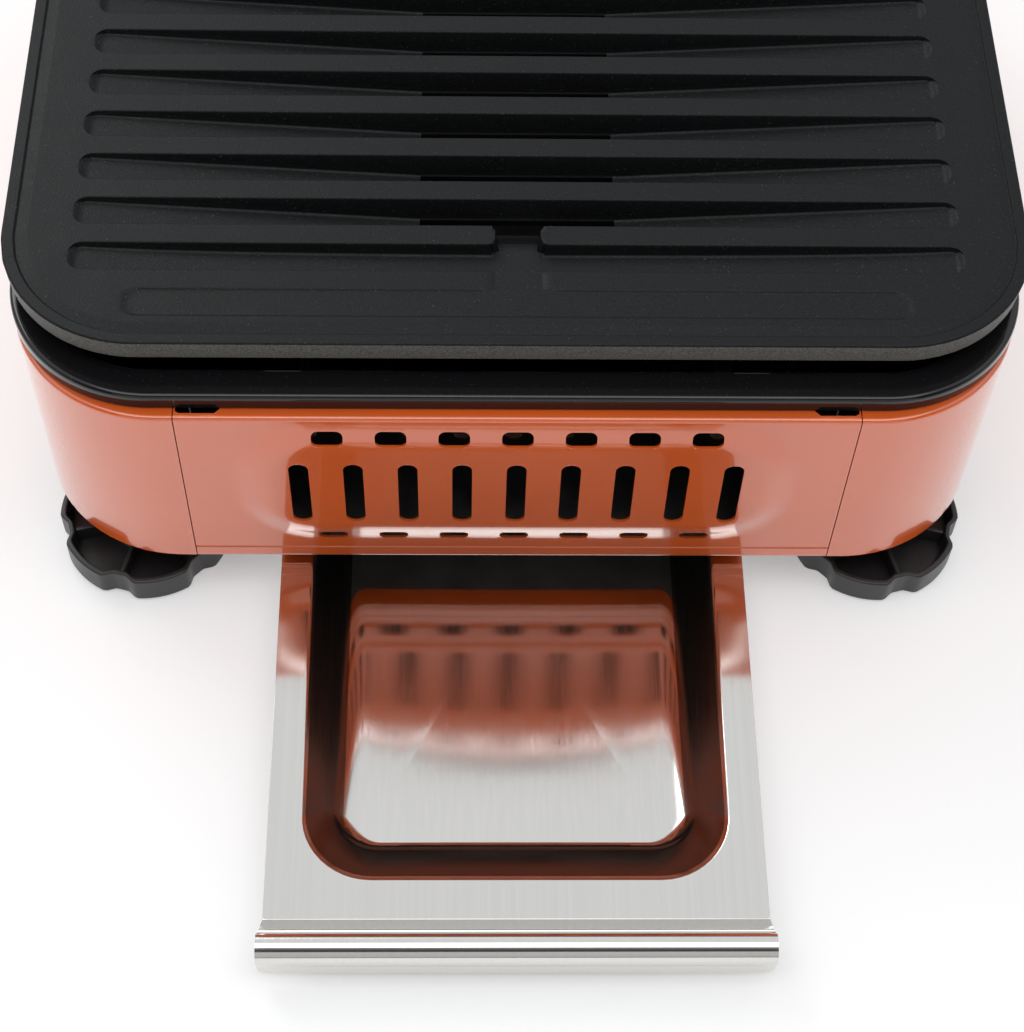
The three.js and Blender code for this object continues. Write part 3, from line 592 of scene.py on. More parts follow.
pan = pan_enamel()


# ------------------------------ housing shell
BODY_RADIUS = 60
SHELL_GAP = 132  # half the opening that the front panel fills
TOP_FLANGE, BASE_FLANGE = 11, 10
DIAL_X, DIAL_Z, DIAL_HOLE = 62, 52, 5
LAMP_Z, LAMP_HOLE = 92, 4.8
SWITCH_Z, SWITCH_HOLE = 54, (11, 15, 0.6)  # half sizes and corner radius
INLET_X, INLET_Z, INLET_HOLE = 111, 55, (13.5, 10, 2.5)


def cut_out(piece, cutters):
    """The piece with the cutters' solids taken out of it."""
    for cutter in cutters:
        modifier = piece.modifiers.new("cut", "BOOLEAN")
        modifier.object = cutter
        modifier.operation = "DIFFERENCE"
        modifier.solver = "EXACT"
    name = piece.name
    piece.name = name + "_uncut"
    result = joined(name, [piece])
    for cutter in cutters:
        bpy.data.objects.remove(cutter)
    return result


def rounded_xz(x, z, half_x, half_z, radius, corner=6):
    return [(px + x, pz + z) for px, pz, _, _ in rounded_rect(half_x, half_z, radius, corner)]


def back_cutter(outline):
    """A bar through the back wall with an (x, z) outline."""
    rings = [[(x, y, z) for x, z in outline] for y in (REAR - 4, REAR + 3)]
    return loft("cutter", rings, caps=(True, True))


def shell_path():
    """(x, y, outward normal) round the shell, from one edge of its opening to the other."""
    cx, cy = HALF_X - BODY_RADIUS, HALF_Y - BODY_RADIUS
    path = [(SHELL_GAP, FRONT, 0, -1)]
    for start, oy in ((-90, MID - cy), (0, MID + cy)):
        for k in range(33):
            a = math.radians(start + 90 * k / 32)
            nx, ny = math.cos(a), math.sin(a)
            path.append((cx + BODY_RADIUS * nx, oy + BODY_RADIUS * ny, nx, ny))
    path += [(cx * t, REAR, 0, 1) for t in (0.8, 0.6, 0.4, 0.2)]
    return path + [(0, REAR, 0, 1)] + [(-x, y, -nx, ny) for x, y, nx, ny in reversed(path)]


def housing_shell():
    section = fillet(
        [(0, BOTTOM), (0, TOP), (-TOP_FLANGE, TOP), (-TOP_FLANGE, TOP - SHEET), (-SHEET, TOP - SHEET),
         (-SHEET, BOTTOM + SHEET), (-BASE_FLANGE, BOTTOM + SHEET), (-BASE_FLANGE, BOTTOM)],
        [1.5, 1.7, 0.4, 0.4, 0.8, 0.8, 0.4, 0.4], 5, closed=True)
    rings = [[(x + nx * d, y + ny * d, z) for d, z in section] for x, y, nx, ny in shell_path()]
    piece = loft("housing_shell", rings, caps=(True, True))
    holes = []
    for x in (-DIAL_X, DIAL_X):
        for z, radius in ((DIAL_Z, DIAL_HOLE), (LAMP_Z, LAMP_HOLE)):
            holes.append(arc(x, z, radius, 0, 360, 40)[:-1])
    holes.append(rounded_xz(0, SWITCH_Z, *SWITCH_HOLE))
    holes.append(rounded_xz(INLET_X, INLET_Z, *INLET_HOLE))
    return sharpen(cut_out(piece, [back_cutter(hole) for hole in holes]), 35)


shell = housing_shell()


# ------------------------------ front panel
PANEL_HALF = 131.6
VENTS = [  # number, pitch, width, height, corner radius, height above the floor
    (7, 24.5, 12.2, 7.6, 2.8, 114.6),
    (9, 21.4, 7.8, 41.0, 3.9, 78.4),
    (7, 24.7, 11.8, 6.8, 2.8, 44.2),
]
CREASE, CREASE_HALF, CREASE_DEPTH = 33.6, 0.7, 0.55
FIELD_RISE = 3.0
BEND = 1.7
# along the flat blank: the flat face's ends, the length of a bend, and the blank's ends
FACE_TOP, FACE_LOW = TOP - BEND, BOTTOM + BEND
BEND_LENGTH = math.pi * BEND / 2
LIP = FACE_TOP + BEND_LENGTH
BLANK_TOP, BLANK_LOW = LIP + 9.2, FACE_LOW - BEND_LENGTH - 7.2
NOTCH_INNER, NOTCH_OUTER = 114, 131


def panel_relief(x, z):
    """How far the panel stands forward: its raised field, less the crease near its foot."""
    inside = -outside_box(x, z - 81.7, 113, 42, 34)
    crease = max(0.0, 1 - ((z - CREASE) / CREASE_HALF) ** 2)
    return FIELD_RISE * smooth(inside / 15) - CREASE_DEPTH * crease


def panel_point(x, s):
    """Maps a point of the flat blank (x across, s along the sheet) to the bent panel's outer face."""
    if FACE_LOW <= s <= FACE_TOP:
        return x, FRONT - panel_relief(x, s), s
    past, edge, out = (s - FACE_TOP, FACE_TOP, 1) if s > FACE_TOP else (FACE_LOW - s, FACE_LOW, -1)
    if past > BEND_LENGTH:
        return x, FRONT + BEND + past - BEND_LENGTH, edge + out * BEND
    a = past / BEND_LENGTH * math.pi / 2
    return x, FRONT + BEND * (1 - math.cos(a)), edge + out * BEND * math.sin(a)


def blank_outline():
    """The flat blank's outline, with a notch in each top corner."""
    notch = [(NOTCH_OUTER, BLANK_TOP), (NOTCH_OUTER, LIP + 2.2), (NOTCH_OUTER - 1.5, LIP + 1.2),
             (NOTCH_INNER + 2, LIP + 1.2), (NOTCH_INNER, LIP + 3.2), (NOTCH_INNER, BLANK_TOP)]
    right = [(PANEL_HALF, BLANK_LOW), (PANEL_HALF, BLANK_TOP)] + notch
    return [(-PANEL_HALF, BLANK_LOW)] + right + [(-x, s) for x, s in reversed(right[1:])]


def blank_grid(holes):
    """Points inside the blank, clear of its holes, and along its sides."""
    levels = {BLANK_LOW + 0.01, BLANK_TOP - 0.01, LIP + 3.4, LIP + 6.8}
    for edge, out in ((FACE_LOW, -1), (FACE_TOP, 1)):
        levels |= {edge + out * BEND_LENGTH * k / 5 for k in range(6)}
    levels |= {CREASE + CREASE_HALF * k / 3 for k in range(-3, 4)}
    levels |= {29 + k for k in range(3)} | {36 + 2.05 * k for k in range(43)}
    levels = sorted(levels)
    boxes = [(min(x for x, _ in h) - 0.5, max(x for x, _ in h) + 0.5,
              min(s for _, s in h) - 0.5, max(s for _, s in h) + 0.5) for h in holes]
    grid = []
    for s in levels:
        for k in range(1, 104):
            x = -PANEL_HALF + 2 * PANEL_HALF * k / 104
            in_hole = any(a < x < b and c < s < d for a, b, c, d in boxes)
            in_notch = s > LIP + 1.0 and abs(x) > NOTCH_INNER - 0.4
            if not in_hole and not in_notch:
                grid.append((x, s))
    return grid + [(x, s) for s in levels for x in (-PANEL_HALF, PANEL_HALF)]


def within(x, y, loop):
    """Whether a point lies in a closed outline."""
    hit = False
    for (x0, y0), (x1, y1) in pairs(loop):
        if (y0 > y) != (y1 > y) and x < (x1 - x0) * (y - y0) / (y1 - y0) + x0:
            hit = not hit
    return hit


def front_panel():
    outer = blank_outline()
    holes = [rounded_xz((i - (number - 1) / 2) * pitch, z, width / 2, height / 2, radius, 7)
             for number, pitch, width, height, radius, z in VENTS for i in range(number)]
    points, edges = [], []
    for loop in (outer, *holes):
        start = len(points)
        edges += [(start + k, start + (k + 1) % len(loop)) for k in range(len(loop))]
        points += [Vector(p) for p in loop]
    points += [Vector(p) for p in blank_grid(holes)]
    verts, _, faces, _, _, _ = delaunay_2d_cdt(points, edges, [], 0, 1e-5)
    kept = []
    for face in faces:
        x, s = sum((verts[i] for i in face), Vector((0, 0))) / len(face)
        if within(x, s, outer) and not any(within(x, s, hole) for hole in holes):
            kept.append(face)
    piece = add_mesh("front_skin", [panel_point(v.x, v.y) for v in verts], kept)
    facing(piece, Vector((0, -1, 0)), lambda faces: max(faces, key=lambda f: abs(f.normal.y)))
    return thickened(piece, SHEET)


panel = front_panel()


# ------------------------------ drip tray
TRAY_FRONT, TRAY_LENGTH, TRAY_HALF, TRAY_TOP = FRONT - 160, 312, 97, 22.2
BASIN_HALF, BASIN_FRONT, BASIN_REAR, BASIN_DEPTH = 84, FRONT - 143.7, FRONT + 138, 17.0
BASIN_LOWEST = FRONT - 40
WALL_RUN_SIDE, WALL_RUN_END = 16.6, 19.6  # how far in the wall would meet a flat floor
TRAY_CORNER, TRAY_STRAIGHT, FLOOR_RINGS = 12, 14, 56  # steps round each corner and side, and to the middle
ROLL_RADIUS, ROLL_OUT, ROLL_RISE = 6.6, 16, 1.4
SKIRT_CORNER, HANDLE_HALF = 4.0, 99.2
TRAY_SHEET = 1.0


def basin_floor(x, y):
    """Height of the dished basin floor. It is lowest a little way in front of the housing."""
    along = abs(y - BASIN_LOWEST)
    if y < BASIN_LOWEST:  # a curve, then a straight slope up to the front end
        rise = 0.085 * (along**2 / 100 if along < 50 else along - 25)
    else:
        rise = 2.8 * smooth(along / 110)
    across = min(1.0, abs(x) / 62) ** 2
    return 2.4 + rise * (1 - 0.22 * across) + 0.9 * across


def basin_wall(run, foot_radius):
    """(distance in from the mouth, fall) down a basin wall, with points along its straight part."""
    points = [(-6, 0), (0, 0), (run, -BASIN_DEPTH), (run + 14, -BASIN_DEPTH)]
    path = fillet(points, [0, 2.2, foot_radius, 0], 8)
    k = max(range(1, len(path) - 2), key=lambda i: math.dist(path[i], path[i + 1]))
    path[k + 1:k + 1] = between(path[k], path[k + 1], (0.08, 0.3, 0.5, 0.7, 0.92))
    return path


def tray_pressing():
    """The flat flange, the basin's walls and its dished floor."""
    middle, half_y = (BASIN_FRONT + BASIN_REAR) / 2, (BASIN_REAR - BASIN_FRONT) / 2
    outline = rounded_rect(TRAY_HALF, TRAY_LENGTH / 2, 0.6, TRAY_CORNER, TRAY_STRAIGHT,
                           (0, TRAY_FRONT + TRAY_LENGTH / 2))
    rings = [[(x, y, TRAY_TOP) for x, y, _, _ in outline]]
    for (dx, fall), (dy, _) in zip(basin_wall(WALL_RUN_SIDE, 15.0), basin_wall(WALL_RUN_END, 8.0)):
        radius = max(4.0, 28 - 19 * max(0.0, min(1.4, dx / 22)))
        mouth = rounded_rect(BASIN_HALF - dx, half_y - dy, radius, TRAY_CORNER, TRAY_STRAIGHT, (0, middle))
        rings.append([(x, y, TRAY_TOP + fall / BASIN_DEPTH * (TRAY_TOP - basin_floor(x, y)))
                      for x, y, _, _ in mouth])
    foot = rings[-1]
    for k in range(1, FLOOR_RINGS):
        share = 1 - k / FLOOR_RINGS
        ring = [(x * share, middle + (y - middle) * share) for x, y, _ in foot]
        rings.append([(x, y, basin_floor(x, y)) for x, y in ring])
    piece = loft("tray_pressing", rings, caps=(False, True))
    facing(piece, Vector((0, 0, 1)), lambda faces: max(faces, key=lambda f: f.calc_area()))
    return thickened(piece, TRAY_SHEET)


def tray_grip():
    """The rolled grip: a step down from the flange, a bead, and a skirt with rounded lower corners."""
    y, z = TRAY_FRONT - ROLL_OUT + ROLL_RADIUS, TRAY_TOP - ROLL_RADIUS + ROLL_RISE
    bead = arc(y, z, ROLL_RADIUS, 58, 202, 24)
    step_foot = (TRAY_FRONT - 4.5, TRAY_TOP - 4.0)
    step = [(TRAY_FRONT + 0.2, TRAY_TOP), (TRAY_FRONT, TRAY_TOP), step_foot, bead[0]]
    path = fillet(step, [0, 1.6, 2.4, 0], 5)
    widening = len(path) - 2
    path += bead[1:]
    end = path[-1]
    tip = (end[0] + 0.5, z - ROLL_RADIUS - 5.0)
    path = fillet(path + [(end[0] + 0.4, end[1] - 2.4), tip], [0] * len(path) + [1.5, 0], 4)[:-1]
    widths = [HANDLE_HALF] * len(path)
    for k in range(widening):
        widths[k] = TRAY_HALF + (HANDLE_HALF - TRAY_HALF) * smooth((TRAY_FRONT - path[k][0]) / 5.0)
    for place in between(path[-1], tip, [k / 10 for k in range(1, 11)]):
        cut = max(0.0, SKIRT_CORNER - math.dist(place, tip))
        path.append(place)
        widths.append(HANDLE_HALF - SKIRT_CORNER + math.sqrt(SKIRT_CORNER**2 - cut**2))
    across = [-1 + 2 * k / 44 for k in range(45)]
    rows = [[(x * width, y, z) for x in across] for (y, z), width in zip(path, widths)]
    piece = loft("tray_grip", rows, closed_rings=False)
    facing(piece, Vector((0, 0, 1)), lambda faces: faces[0])
    return thickened(piece, TRAY_SHEET)


def grained(piece):
    """Stores the direction of the brushed grain as UVs, for the shader."""
    layer = piece.data.uv_layers.new(name="grain")
    for loop in piece.data.loops:
        co = piece.data.vertices[loop.vertex_index].co
        layer.data[loop.index].uv = (co.x, co.y - co.z)
    return piece


tray, grip = grained(tray_pressing()), grained(tray_grip())


# ------------------------------ levelling feet
FOOT_X, FOOT_INSET = 157.5, 30
FOOT_RADIUS, FOOT_TOP, FOOT_WALL, FOOT_FLOOR = 36.2, 14.0, 2.6, 3.4
HUB_RADIUS, BORE_RADIUS = 12, 4.3
LOBES, SCALLOP = 6, 3.2


def foot_knob(name, x, y, phase):
    """A lobed hand knob, open at the top, with a hub and ribs."""

    def lobed(a, r):
        """Round lobes with a shallow scallop between them, eased towards the middle."""
        step = 2 * math.pi / LOBES
        t = ((a - math.radians(phase) + step / 2) % step) / step - 0.5
        dip = smooth((abs(t) - 0.29) / 0.15)
        return r - SCALLOP * dip * (r / FOOT_RADIUS) ** 2

    outer, inner, top = FOOT_RADIUS, FOOT_RADIUS - FOOT_WALL, FOOT_TOP
    profile = fillet(
        [(0, 0), (outer - 1, 0), (outer, 1.2), (outer, top), (inner, top), (inner - 0.8, FOOT_FLOOR),
         (HUB_RADIUS + 0.6, FOOT_FLOOR), (HUB_RADIUS, top), (BORE_RADIUS, top), (BORE_RADIUS, 3.2), (0, 3.2)],
        [0, 0, 0.8, 0.9, 0.7, 2.2, 2.0, 0.8, 0.4, 0.2, 0], 4)
    pieces = [lathe(name, profile, x, y, 144, lobed)]
    for k in range(LOBES):
        rib = box_mesh("rib", HUB_RADIUS - 0.8, inner - SCALLOP * 0.2 - 2.4, -0.9, 0.9, 2.6, top - 2.4, 0.5)
        turn = Matrix.Rotation(math.radians(phase + 30 + 60 * k), 4, "Z")
        rib.data.transform(Matrix.Translation(Vector((x, y, 0)) * MM) @ turn)
        pieces.append(rib)
    return sharpen(joined(name, pieces), 40)


feet = {}
for side, sx in (("left", -1), ("right", 1)):
    for end, sy in (("front", -1), ("rear", 1)):
        phase = -75 if sx * sy > 0 else -105
        place = sx * FOOT_X, MID + sy * (HALF_Y - FOOT_INSET)
        feet[f"{end}_{side}"] = foot_knob(f"lobed_foot_{end}_{side}", *place, phase)


# ------------------------------ shader helpers
def material(name, colour, roughness, metallic=0.0, **values):
    """A principled shader with its plain values set."""
    m = bpy.data.materials.new(name)
    m.use_nodes = True
    shader = shader_of(m)
    shader.inputs["Base Color"].default_value = (*colour, 1)
    shader.inputs["Roughness"].default_value = roughness
    shader.inputs["Metallic"].default_value = metallic
    for key, value in values.items():
        socket = shader.inputs[key.replace("_", " ")]
        socket.default_value = (*value, 1) if isinstance(value, tuple) else value
    return m


def shader_of(m):
    return m.node_tree.nodes["Principled BSDF"]


def node(m, kind, inputs=(), **settings):
    """A new node of a material or of the world."""
    n = m.node_tree.nodes.new(kind)
    for key, value in settings.items():
        setattr(n, key, value)
    for key, value in dict(inputs).items():
        n.inputs[key].default_value = value
    return n


def link(m, source, target):
    m.node_tree.links.new(source, target)


def feed(m, socket_name, source):
    """Drives one of the principled shader's values."""
    link(m, source, shader_of(m).inputs[socket_name])


def noise(m, scale, detail=2.0, rough=0.5, stretch=(1, 1, 1)):
    """Noise in object space. scale is in repeats a metre, and stretch multiplies it along each axis."""
    place = node(m, "ShaderNodeTexCoord")
    mapping = node(m, "ShaderNodeMapping", {"Scale": stretch})
    link(m, place.outputs["Object"], mapping.inputs["Vector"])
    n = node(m, "ShaderNodeTexNoise", {"Scale": scale, "Detail": detail, "Roughness": rough})
    link(m, mapping.outputs["Vector"], n.inputs["Vector"])
    return n.outputs["Fac"]


def ranged(m, source, low, high, to_low, to_high, **settings):
    """Maps the range low to high onto another."""
    ends = {"From Min": low, "From Max": high, "To Min": to_low, "To Max": to_high}
    n = node(m, "ShaderNodeMapRange", ends, **settings)
    link(m, source, n.inputs["Value"])
    return n.outputs["Result"]


def spread(m, source, to_low, to_high):
    """Maps the middle of a noise's range, where most of it lies, onto another."""
    return ranged(m, source, 0.3, 0.7, to_low, to_high)


def blended(m, factor, first, second):
    """A colour between two, by a factor; either may be a colour or a socket."""
    n = node(m, "ShaderNodeMix", data_type="RGBA")
    link(m, factor, n.inputs["Factor"])
    for value, socket in ((first, n.inputs[6]), (second, n.inputs[7])):
        if isinstance(value, tuple):
            socket.default_value = (*value, 1)
        else:
            link(m, value, socket)
    return n.outputs[2]


def combined(m, operation, first, second):
    """The result of a calculation with two sockets."""
    n = node(m, "ShaderNodeMath", operation=operation)
    link(m, first, n.inputs[0])
    link(m, second, n.inputs[1])
    return n.outputs[0]


def tinted(colour, gain):
    return tuple(min(1, c * gain) for c in colour)


def bump(m, *layers):
    """Stacks bumps of (height, strength, distance in mm)."""
    previous = None
    for height, strength, distance in layers:
        n = node(m, "ShaderNodeBump", {"Strength": strength, "Distance": distance * MM})
        link(m, height, n.inputs["Height"])
        if previous is not None:
            link(m, previous, n.inputs["Normal"])
        previous = n.outputs["Normal"]
    feed(m, "Normal", previous)


# ------------------------------ materials
def coating_material(name, base, pale, roughness):
    """Sprayed non-stick: a fine gritty grain with pale flecks."""
    m = material(name, base, roughness, Specular_IOR_Level=0.20)
    grain, cloud, fleck = noise(m, 1500, 2, 0.6), noise(m, 60, 3), noise(m, 1150, 1.5, 0.7)
    shade = blended(m, spread(m, grain, 0, 1), tinted(base, 0.45), tinted(base, 1.9))
    shade = blended(m, ranged(m, cloud, 0.35, 0.7, 0, 0.35), shade, tinted(base, 1.25))
    shade = blended(m, ranged(m, fleck, 0.67, 0.76, 0, 0.8), shade, pale)
    feed(m, "Base Color", shade)
    feed(m, "Roughness", spread(m, cloud, roughness - 0.025, roughness + 0.03))
    bump(m, (grain, 0.8, 0.19), (fleck, 0.4, 0.14))
    return m


def paint_material(name, base, roughness):
    """Glossy enamel paint over steel, with a slight orange peel."""
    m = material(name, base, roughness, IOR=1.5, Coat_Weight=1.0, Coat_Roughness=0.04, Coat_IOR=1.8)
    peel, cloud = noise(m, 420, 2, 0.5), noise(m, 14, 2)
    feed(m, "Base Color", blended(m, spread(m, cloud, 0, 1), tinted(base, 0.96), tinted(base, 1.05)))
    feed(m, "Roughness", spread(m, peel, roughness - 0.02, roughness + 0.04))
    bump(m, (peel, 0.06, 0.05))
    return m


def steel_material(name, base, roughness, grain, depth, cloudiness, anisotropy=0.0):
    """Brushed or rolled sheet: fine scratches that vary the gloss and draw highlights out across them."""
    m = material(name, base, roughness, 1.0, Anisotropic=anisotropy)
    if anisotropy:
        feed(m, "Tangent", node(m, "ShaderNodeTangent", direction_type="UV_MAP", uv_map="grain").outputs[0])
    fine, broad = noise(m, 1, 3, 0.65, grain), noise(m, 1, 2, 0.5, [g * 0.22 for g in grain])
    cloud = noise(m, 30, 3)
    feed(m, "Base Color", blended(m, spread(m, broad, 0, 1), tinted(base, 0.98), tinted(base, 1.015)))
    gloss = node(m, "ShaderNodeMath", {1: roughness * 0.55}, operation="MULTIPLY_ADD")
    link(m, spread(m, fine, -0.5, 0.5), gloss.inputs[0])
    link(m, spread(m, cloud, roughness - cloudiness, roughness + cloudiness), gloss.inputs[2])
    feed(m, "Roughness", gloss.outputs[0])
    bump(m, (fine, depth, 0.02))
    return m


def plastic_material(name, base, roughness, grain=1300, depth=0.35, **values):
    """A moulded or cast surface with a fine grain."""
    m = material(name, base, roughness, **values)
    fine, cloud = noise(m, grain, 2, 0.6), noise(m, 90, 3)
    feed(m, "Base Color", blended(m, spread(m, cloud, 0, 1), tinted(base, 0.85), tinted(base, 1.18)))
    feed(m, "Roughness", spread(m, cloud, roughness - 0.05, roughness + 0.07))
    bump(m, (fine, depth, 0.06))
    return m


def enamel_material():
    """Black vitreous enamel, with faint specks."""
    m = material("black_enamel", (0.010, 0.010, 0.011), 0.08,
                 IOR=1.42, Coat_Weight=0.35, Coat_Roughness=0.03, Coat_IOR=1.45)
    peel, speck = noise(m, 260, 2, 0.5), noise(m, 900, 1)
    shade = blended(m, ranged(m, speck, 0.66, 0.74, 0, 1), (0.009, 0.009, 0.010), (0.022, 0.022, 0.024))
    feed(m, "Base Color", shade)
    feed(m, "Roughness", spread(m, peel, 0.06, 0.12))
    bump(m, (peel, 0.05, 0.06))
    return m


def sheath_material():
    """Heat-darkened element sheath: dull, with straw and blue tints."""
    m = material("heated_sheath", (0.09, 0.085, 0.08), 0.42, 0.85)
    tint, fine = noise(m, 26, 3, 0.6), noise(m, 700, 3)
    shade = blended(m, ranged(m, tint, 0.35, 0.65, 0, 1), (0.055, 0.05, 0.052), (0.14, 0.115, 0.085))
    feed(m, "Base Color", shade)
    feed(m, "Roughness", spread(m, fine, 0.34, 0.52))
    bump(m, (fine, 0.2, 0.05))
    return m


def sleeve_material():
    """Braided glass-fibre sleeve: two crossing sets of fine bands."""
    m = material("braided_sleeve", (0.72, 0.68, 0.58), 0.75)
    place = node(m, "ShaderNodeTexCoord")
    waves = []
    for turn in (0.7, -0.7):
        mapping = node(m, "ShaderNodeMapping", {"Rotation": (turn, 0, turn)})
        link(m, place.outputs["Object"], mapping.inputs["Vector"])
        wave = node(m, "ShaderNodeTexWave", {"Scale": 480, "Distortion": 0.6, "Detail": 1})
        link(m, mapping.outputs["Vector"], wave.inputs["Vector"])
        waves.append(wave.outputs["Fac"])
    braid = combined(m, "MAXIMUM", *waves)
    feed(m, "Base Color", blended(m, braid, (0.46, 0.42, 0.34), (0.78, 0.74, 0.64)))
    bump(m, (braid, 0.6, 0.15))
    return m


def lens_material():
    """Tinted plastic that lets some light through."""
    m = material("amber_lens", (0.80, 0.10, 0.015), 0.12, Transmission_Weight=0.35, IOR=1.49, Coat_Weight=0.5)
    cloud, ripple = noise(m, 120, 2), noise(m, 600, 1)
    feed(m, "Base Color", blended(m, spread(m, cloud, 0, 1), (0.52, 0.035, 0.006), (0.70, 0.07, 0.010)))
    bump(m, (ripple, 0.12, 0.08))
    return m


BRUSHED, ROLLED = (2600, 20, 2600), (2400, 260, 2400)  # noise repeats a metre along each axis
LOOKS = {
    "nonstick_plate": coating_material(
        "nonstick_coating", (0.0070, 0.0075, 0.0082), (0.095, 0.094, 0.090), 0.42),
    "orange_paint": paint_material("orange_paint", (0.79, 0.125, 0.018), 0.20),
    "black_enamel": enamel_material(),
    "brushed_stainless": steel_material(
        "brushed_stainless", (0.73, 0.715, 0.69), 0.14, BRUSHED, 0.04, 0.012, 0.88),
    "stainless_sheet": steel_material("rolled_stainless", (0.58, 0.575, 0.56), 0.24, ROLLED, 0.04, 0.04),
    "galvanised_steel": plastic_material("galvanised", (0.42, 0.43, 0.435), 0.42, 160, 0.15, Metallic=0.9),
    "zinc_plate": steel_material("zinc_plate", (0.66, 0.69, 0.72), 0.28, (300, 300, 300), 0.10, 0.08),
    "black_plastic": plastic_material("moulded_plastic", (0.024, 0.025, 0.026), 0.36),
    "element_sheath": sheath_material(),
    "porcelain": plastic_material("glazed_porcelain", (0.76, 0.73, 0.66), 0.22, 300, 0.12, Coat_Weight=0.6),
    "amber_lens": lens_material(),
    "copper": steel_material("drawn_copper", (0.72, 0.36, 0.20), 0.30, (500, 40, 500), 0.10, 0.07),
    "lead_sleeve": sleeve_material(),
}
# painted shade and reflection: the tray's basin walls get a darker, browner steel than the sheet, standing in
# for the dark surroundings they reflect
TRAY_WALL_SHADE_LOOK = steel_material("tray_wall_painted_shade", (0.24, 0.215, 0.195), 0.20, BRUSHED, 0.04, 0.012, 0.6)
# painted shade: the grease chute and the plate locators get a near-black steel so the drain slots above them
# read as dark
CHUTE_SHADE_LOOK = steel_material("chute_painted_shade", (0.085, 0.078, 0.068), 0.42, ROLLED, 0.05, 0.05)
# painted shade: the groove walls and the deep floors among the slots get a darker, less glossy coating so
# they read as shaded
GROOVE_SHADE_LOOK = coating_material("groove_wall_painted_shade", (0.0030, 0.0031, 0.0034), (0.016, 0.016, 0.015), 0.50)
shader_of(GROOVE_SHADE_LOOK).inputs["Specular IOR Level"].default_value = 0.10
EDGE_LOOK = coating_material("plate_edge", (0.092, 0.086, 0.078), (0.20, 0.19, 0.17), 0.44)


# ------------------------------ assembly
def dress(piece, slot_name, body, *nodes):
    """Gives a piece its look, hangs it on the empty of the body it rides on, and hides the CAD nodes it
    replaces.
    """
    piece.data.materials.clear()
    piece.data.materials.append(LOOKS[slot_name])
    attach(piece, body)
    if nodes:
        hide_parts(*nodes)


def plate_look(centre, normal):
    """The plate's material for a face: 0 the coating, 1 the paler cast side, 2 the groove walls and the deep
    floors among the slots, darkened as painted shade.
    """
    if abs(normal.z) < 0.35 and centre.z > PLATE_EDGE - 0.5:
        out = outside_box(centre.x, centre.y - MID, PLATE_X, PLATE_Y, PLATE_RADIUS)
        return 1 if out > -2.0 else 0
    in_grooves = abs(centre.x) < GROOVE_REACH - 3 and abs(centre.y - MID) < 130
    if centre.z < PLATE_TOP - 0.9 and in_grooves:
        among_slots = abs(centre.x) < SLOT_REACH - 0.6 and abs(centre.y - MID) < (GROOVES - 2) / 2 * PITCH
        if abs(normal.z) < 0.8 or (among_slots and centre.z < PLATE_TOP - 5):
            return 2
    return 0


def ease_edges(piece):
    """Rounds a CAD solid's sharp edges with modifiers, so they catch the light."""
    piece.modifiers.new("weld", "WELD").merge_threshold = 0.002 * MM
    bevelled(piece, 0.3, 32)
    shade_smooth(piece.data)
    piece.modifiers.new("normals", "WEIGHTED_NORMAL").keep_sharp = True


dress(plate, "nonstick_plate", "plate", "griddle_plate")
plate.data.materials.append(EDGE_LOOK)
plate.data.materials.append(GROOVE_SHADE_LOOK)
for face in plate.data.polygons:
    face.material_index = plate_look(face.center / MM, face.normal)
dress(pan, "black_enamel", "housing", "inner_pan")
dress(shell, "orange_paint", "housing", "body_shell")
dress(panel, "orange_paint", "housing", "front_panel")
dress(tray, "brushed_stainless", "tray", "drip_tray")
tray.data.materials.append(TRAY_WALL_SHADE_LOOK)
for face in tray.data.polygons:  # the basin walls take a darker steel: painted shade and reflection
    centre = face.center / MM
    if abs(face.normal.z) < 0.88 and centre.z < TRAY_TOP - 1.6 and abs(centre.x) < BASIN_HALF:
        face.material_index = 1
dress(grip, "brushed_stainless", "tray")
for corner, piece in feet.items():
    dress(piece, "black_plastic", f"knob_{corner}", f"foot_knob_{corner}")

slots = {row["node"]: row["material_slot"] for row in frame["record"]["subparts"]}
replaced = {"griddle_plate", "inner_pan", "body_shell", "front_panel", "drip_tray"}
for name, piece in frame["nodes"].items():
    if name in replaced or name.startswith("foot_knob"):
        continue
    # the chute and the locators are darkened with painted shade
    painted_dark = name.startswith(("grease_chute", "plate_locator"))
    piece.data.materials.clear()
    piece.data.materials.append(CHUTE_SHADE_LOOK if painted_dark else LOOKS[slots[name]])
    ease_edges(piece)


# ------------------------------ floor and light
FLOOR_HALF = 40000
SHADE_NEAR, SHADE_FAR = 105, 172  # where the floor starts to turn pale, and where it has


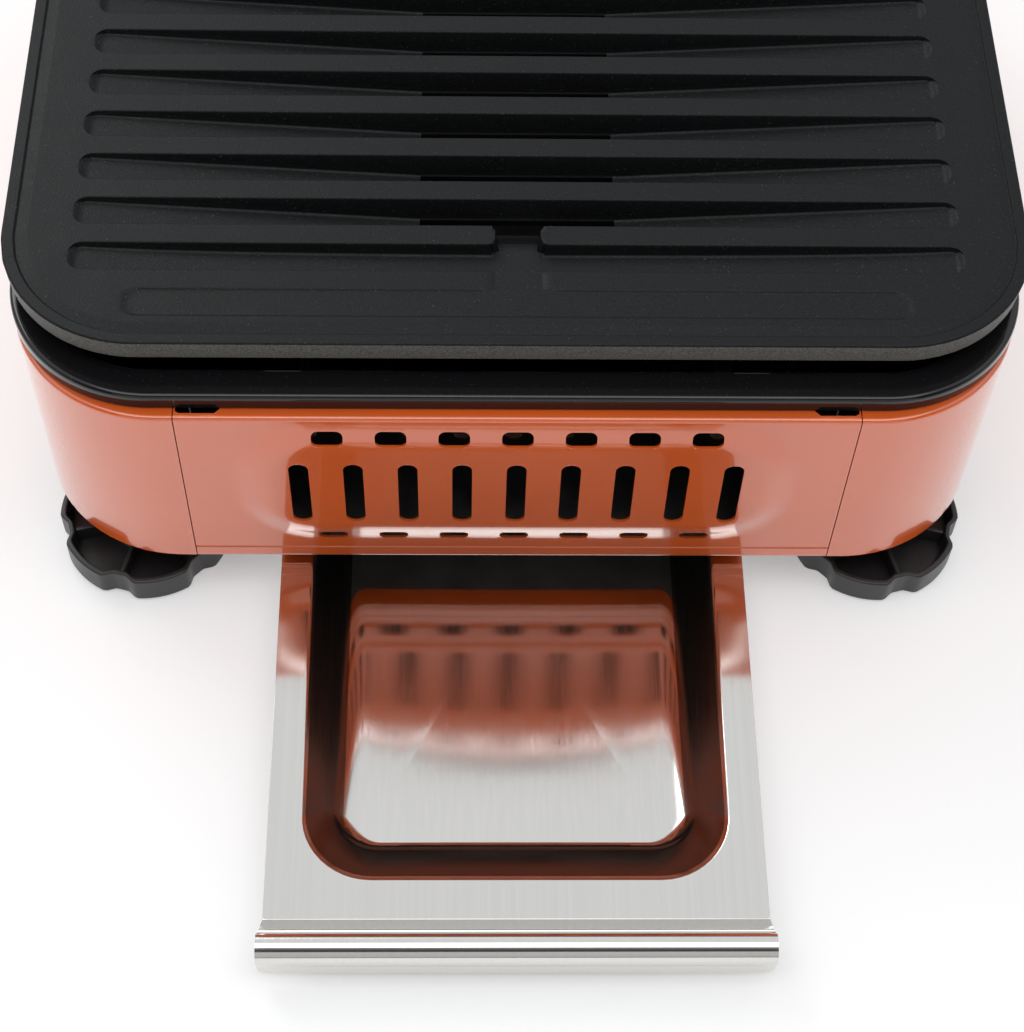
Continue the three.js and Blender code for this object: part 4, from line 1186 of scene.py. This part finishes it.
def pale_floor():
    """A pale floor that glows a little, and is dark beneath the housing to keep the shade deep."""
    h = FLOOR_HALF
    floor = add_mesh("floor", [(-h, -h, 0), (h, -h, 0), (h, h, 0), (-h, h, 0)], [(0, 1, 2, 3)])
    m = material("pale_floor", (0.72, 0.72, 0.72), 0.9, Emission_Color=(1.0, 1.0, 1.0))
    place = node(m, "ShaderNodeTexCoord")
    parts = node(m, "ShaderNodeSeparateXYZ")
    link(m, place.outputs["Object"], parts.inputs[0])
    reach = []
    for axis, middle in (("X", 0), ("Y", MID)):
        shifted = node(m, "ShaderNodeMath", {1: middle * MM}, operation="SUBTRACT")
        size = node(m, "ShaderNodeMath", operation="ABSOLUTE")
        link(m, parts.outputs[axis], shifted.inputs[0])
        link(m, shifted.outputs[0], size.inputs[0])
        reach.append(ranged(m, size.outputs[0], SHADE_NEAR * MM, SHADE_FAR * MM, 0, 1))
    clear = combined(m, "MAXIMUM", *reach)
    pale = blended(m, noise(m, 6, 2), (0.715, 0.715, 0.715), (0.725, 0.725, 0.725))
    feed(m, "Base Color", blended(m, clear, (0.02, 0.02, 0.02), pale))
    feed(m, "Emission Strength", ranged(m, clear, 0, 1, 0, 0.36))
    floor.data.materials.append(m)
    return floor


def studio_world():
    """A pale room that is brightest high up and towards the back."""
    world = bpy.data.worlds.new("studio")
    bpy.context.scene.world = world
    world.use_nodes = True
    sky = world.node_tree.nodes["Background"]
    sky.inputs[0].default_value = (0.97, 0.985, 1.0, 1)
    direction = node(world, "ShaderNodeTexCoord")
    split = node(world, "ShaderNodeSeparateXYZ")
    link(world, direction.outputs["Generated"], split.inputs[0])
    high = ranged(world, split.outputs["Z"], 0.04, 0.52, 0.07, 1.0, interpolation_type="SMOOTHSTEP")
    far = ranged(world, split.outputs["Y"], -0.62, -0.02, 0.07, 0.86, interpolation_type="SMOOTHSTEP")
    link(world, combined(world, "MULTIPLY", high, far), sky.inputs["Strength"])


def softbox(name, place, aim, width, height, power):
    data = bpy.data.lights.new(name, "AREA")
    data.shape, data.size, data.size_y, data.energy = "RECTANGLE", width, height, power
    lamp = in_scene(name, data)
    lamp.location = place
    lamp.rotation_euler = (Vector(aim) - Vector(place)).to_track_quat("-Z", "Y").to_euler()


bpy.context.scene.view_settings.view_transform = "Standard"
pale_floor()
studio_world()
softbox("back_left", (-0.9, 1.1, 1.3), (0, 0.1, 0.1), 0.9, 0.7, 7)
softbox("overhead", (0.0, -0.36, 1.5), (0, -0.12, 0.05), 1.6, 0.8, 7)
softbox("front_low", (0.0, -2.5, 0.95), (0, -0.1, 0.08), 3.2, 1.7, 9)
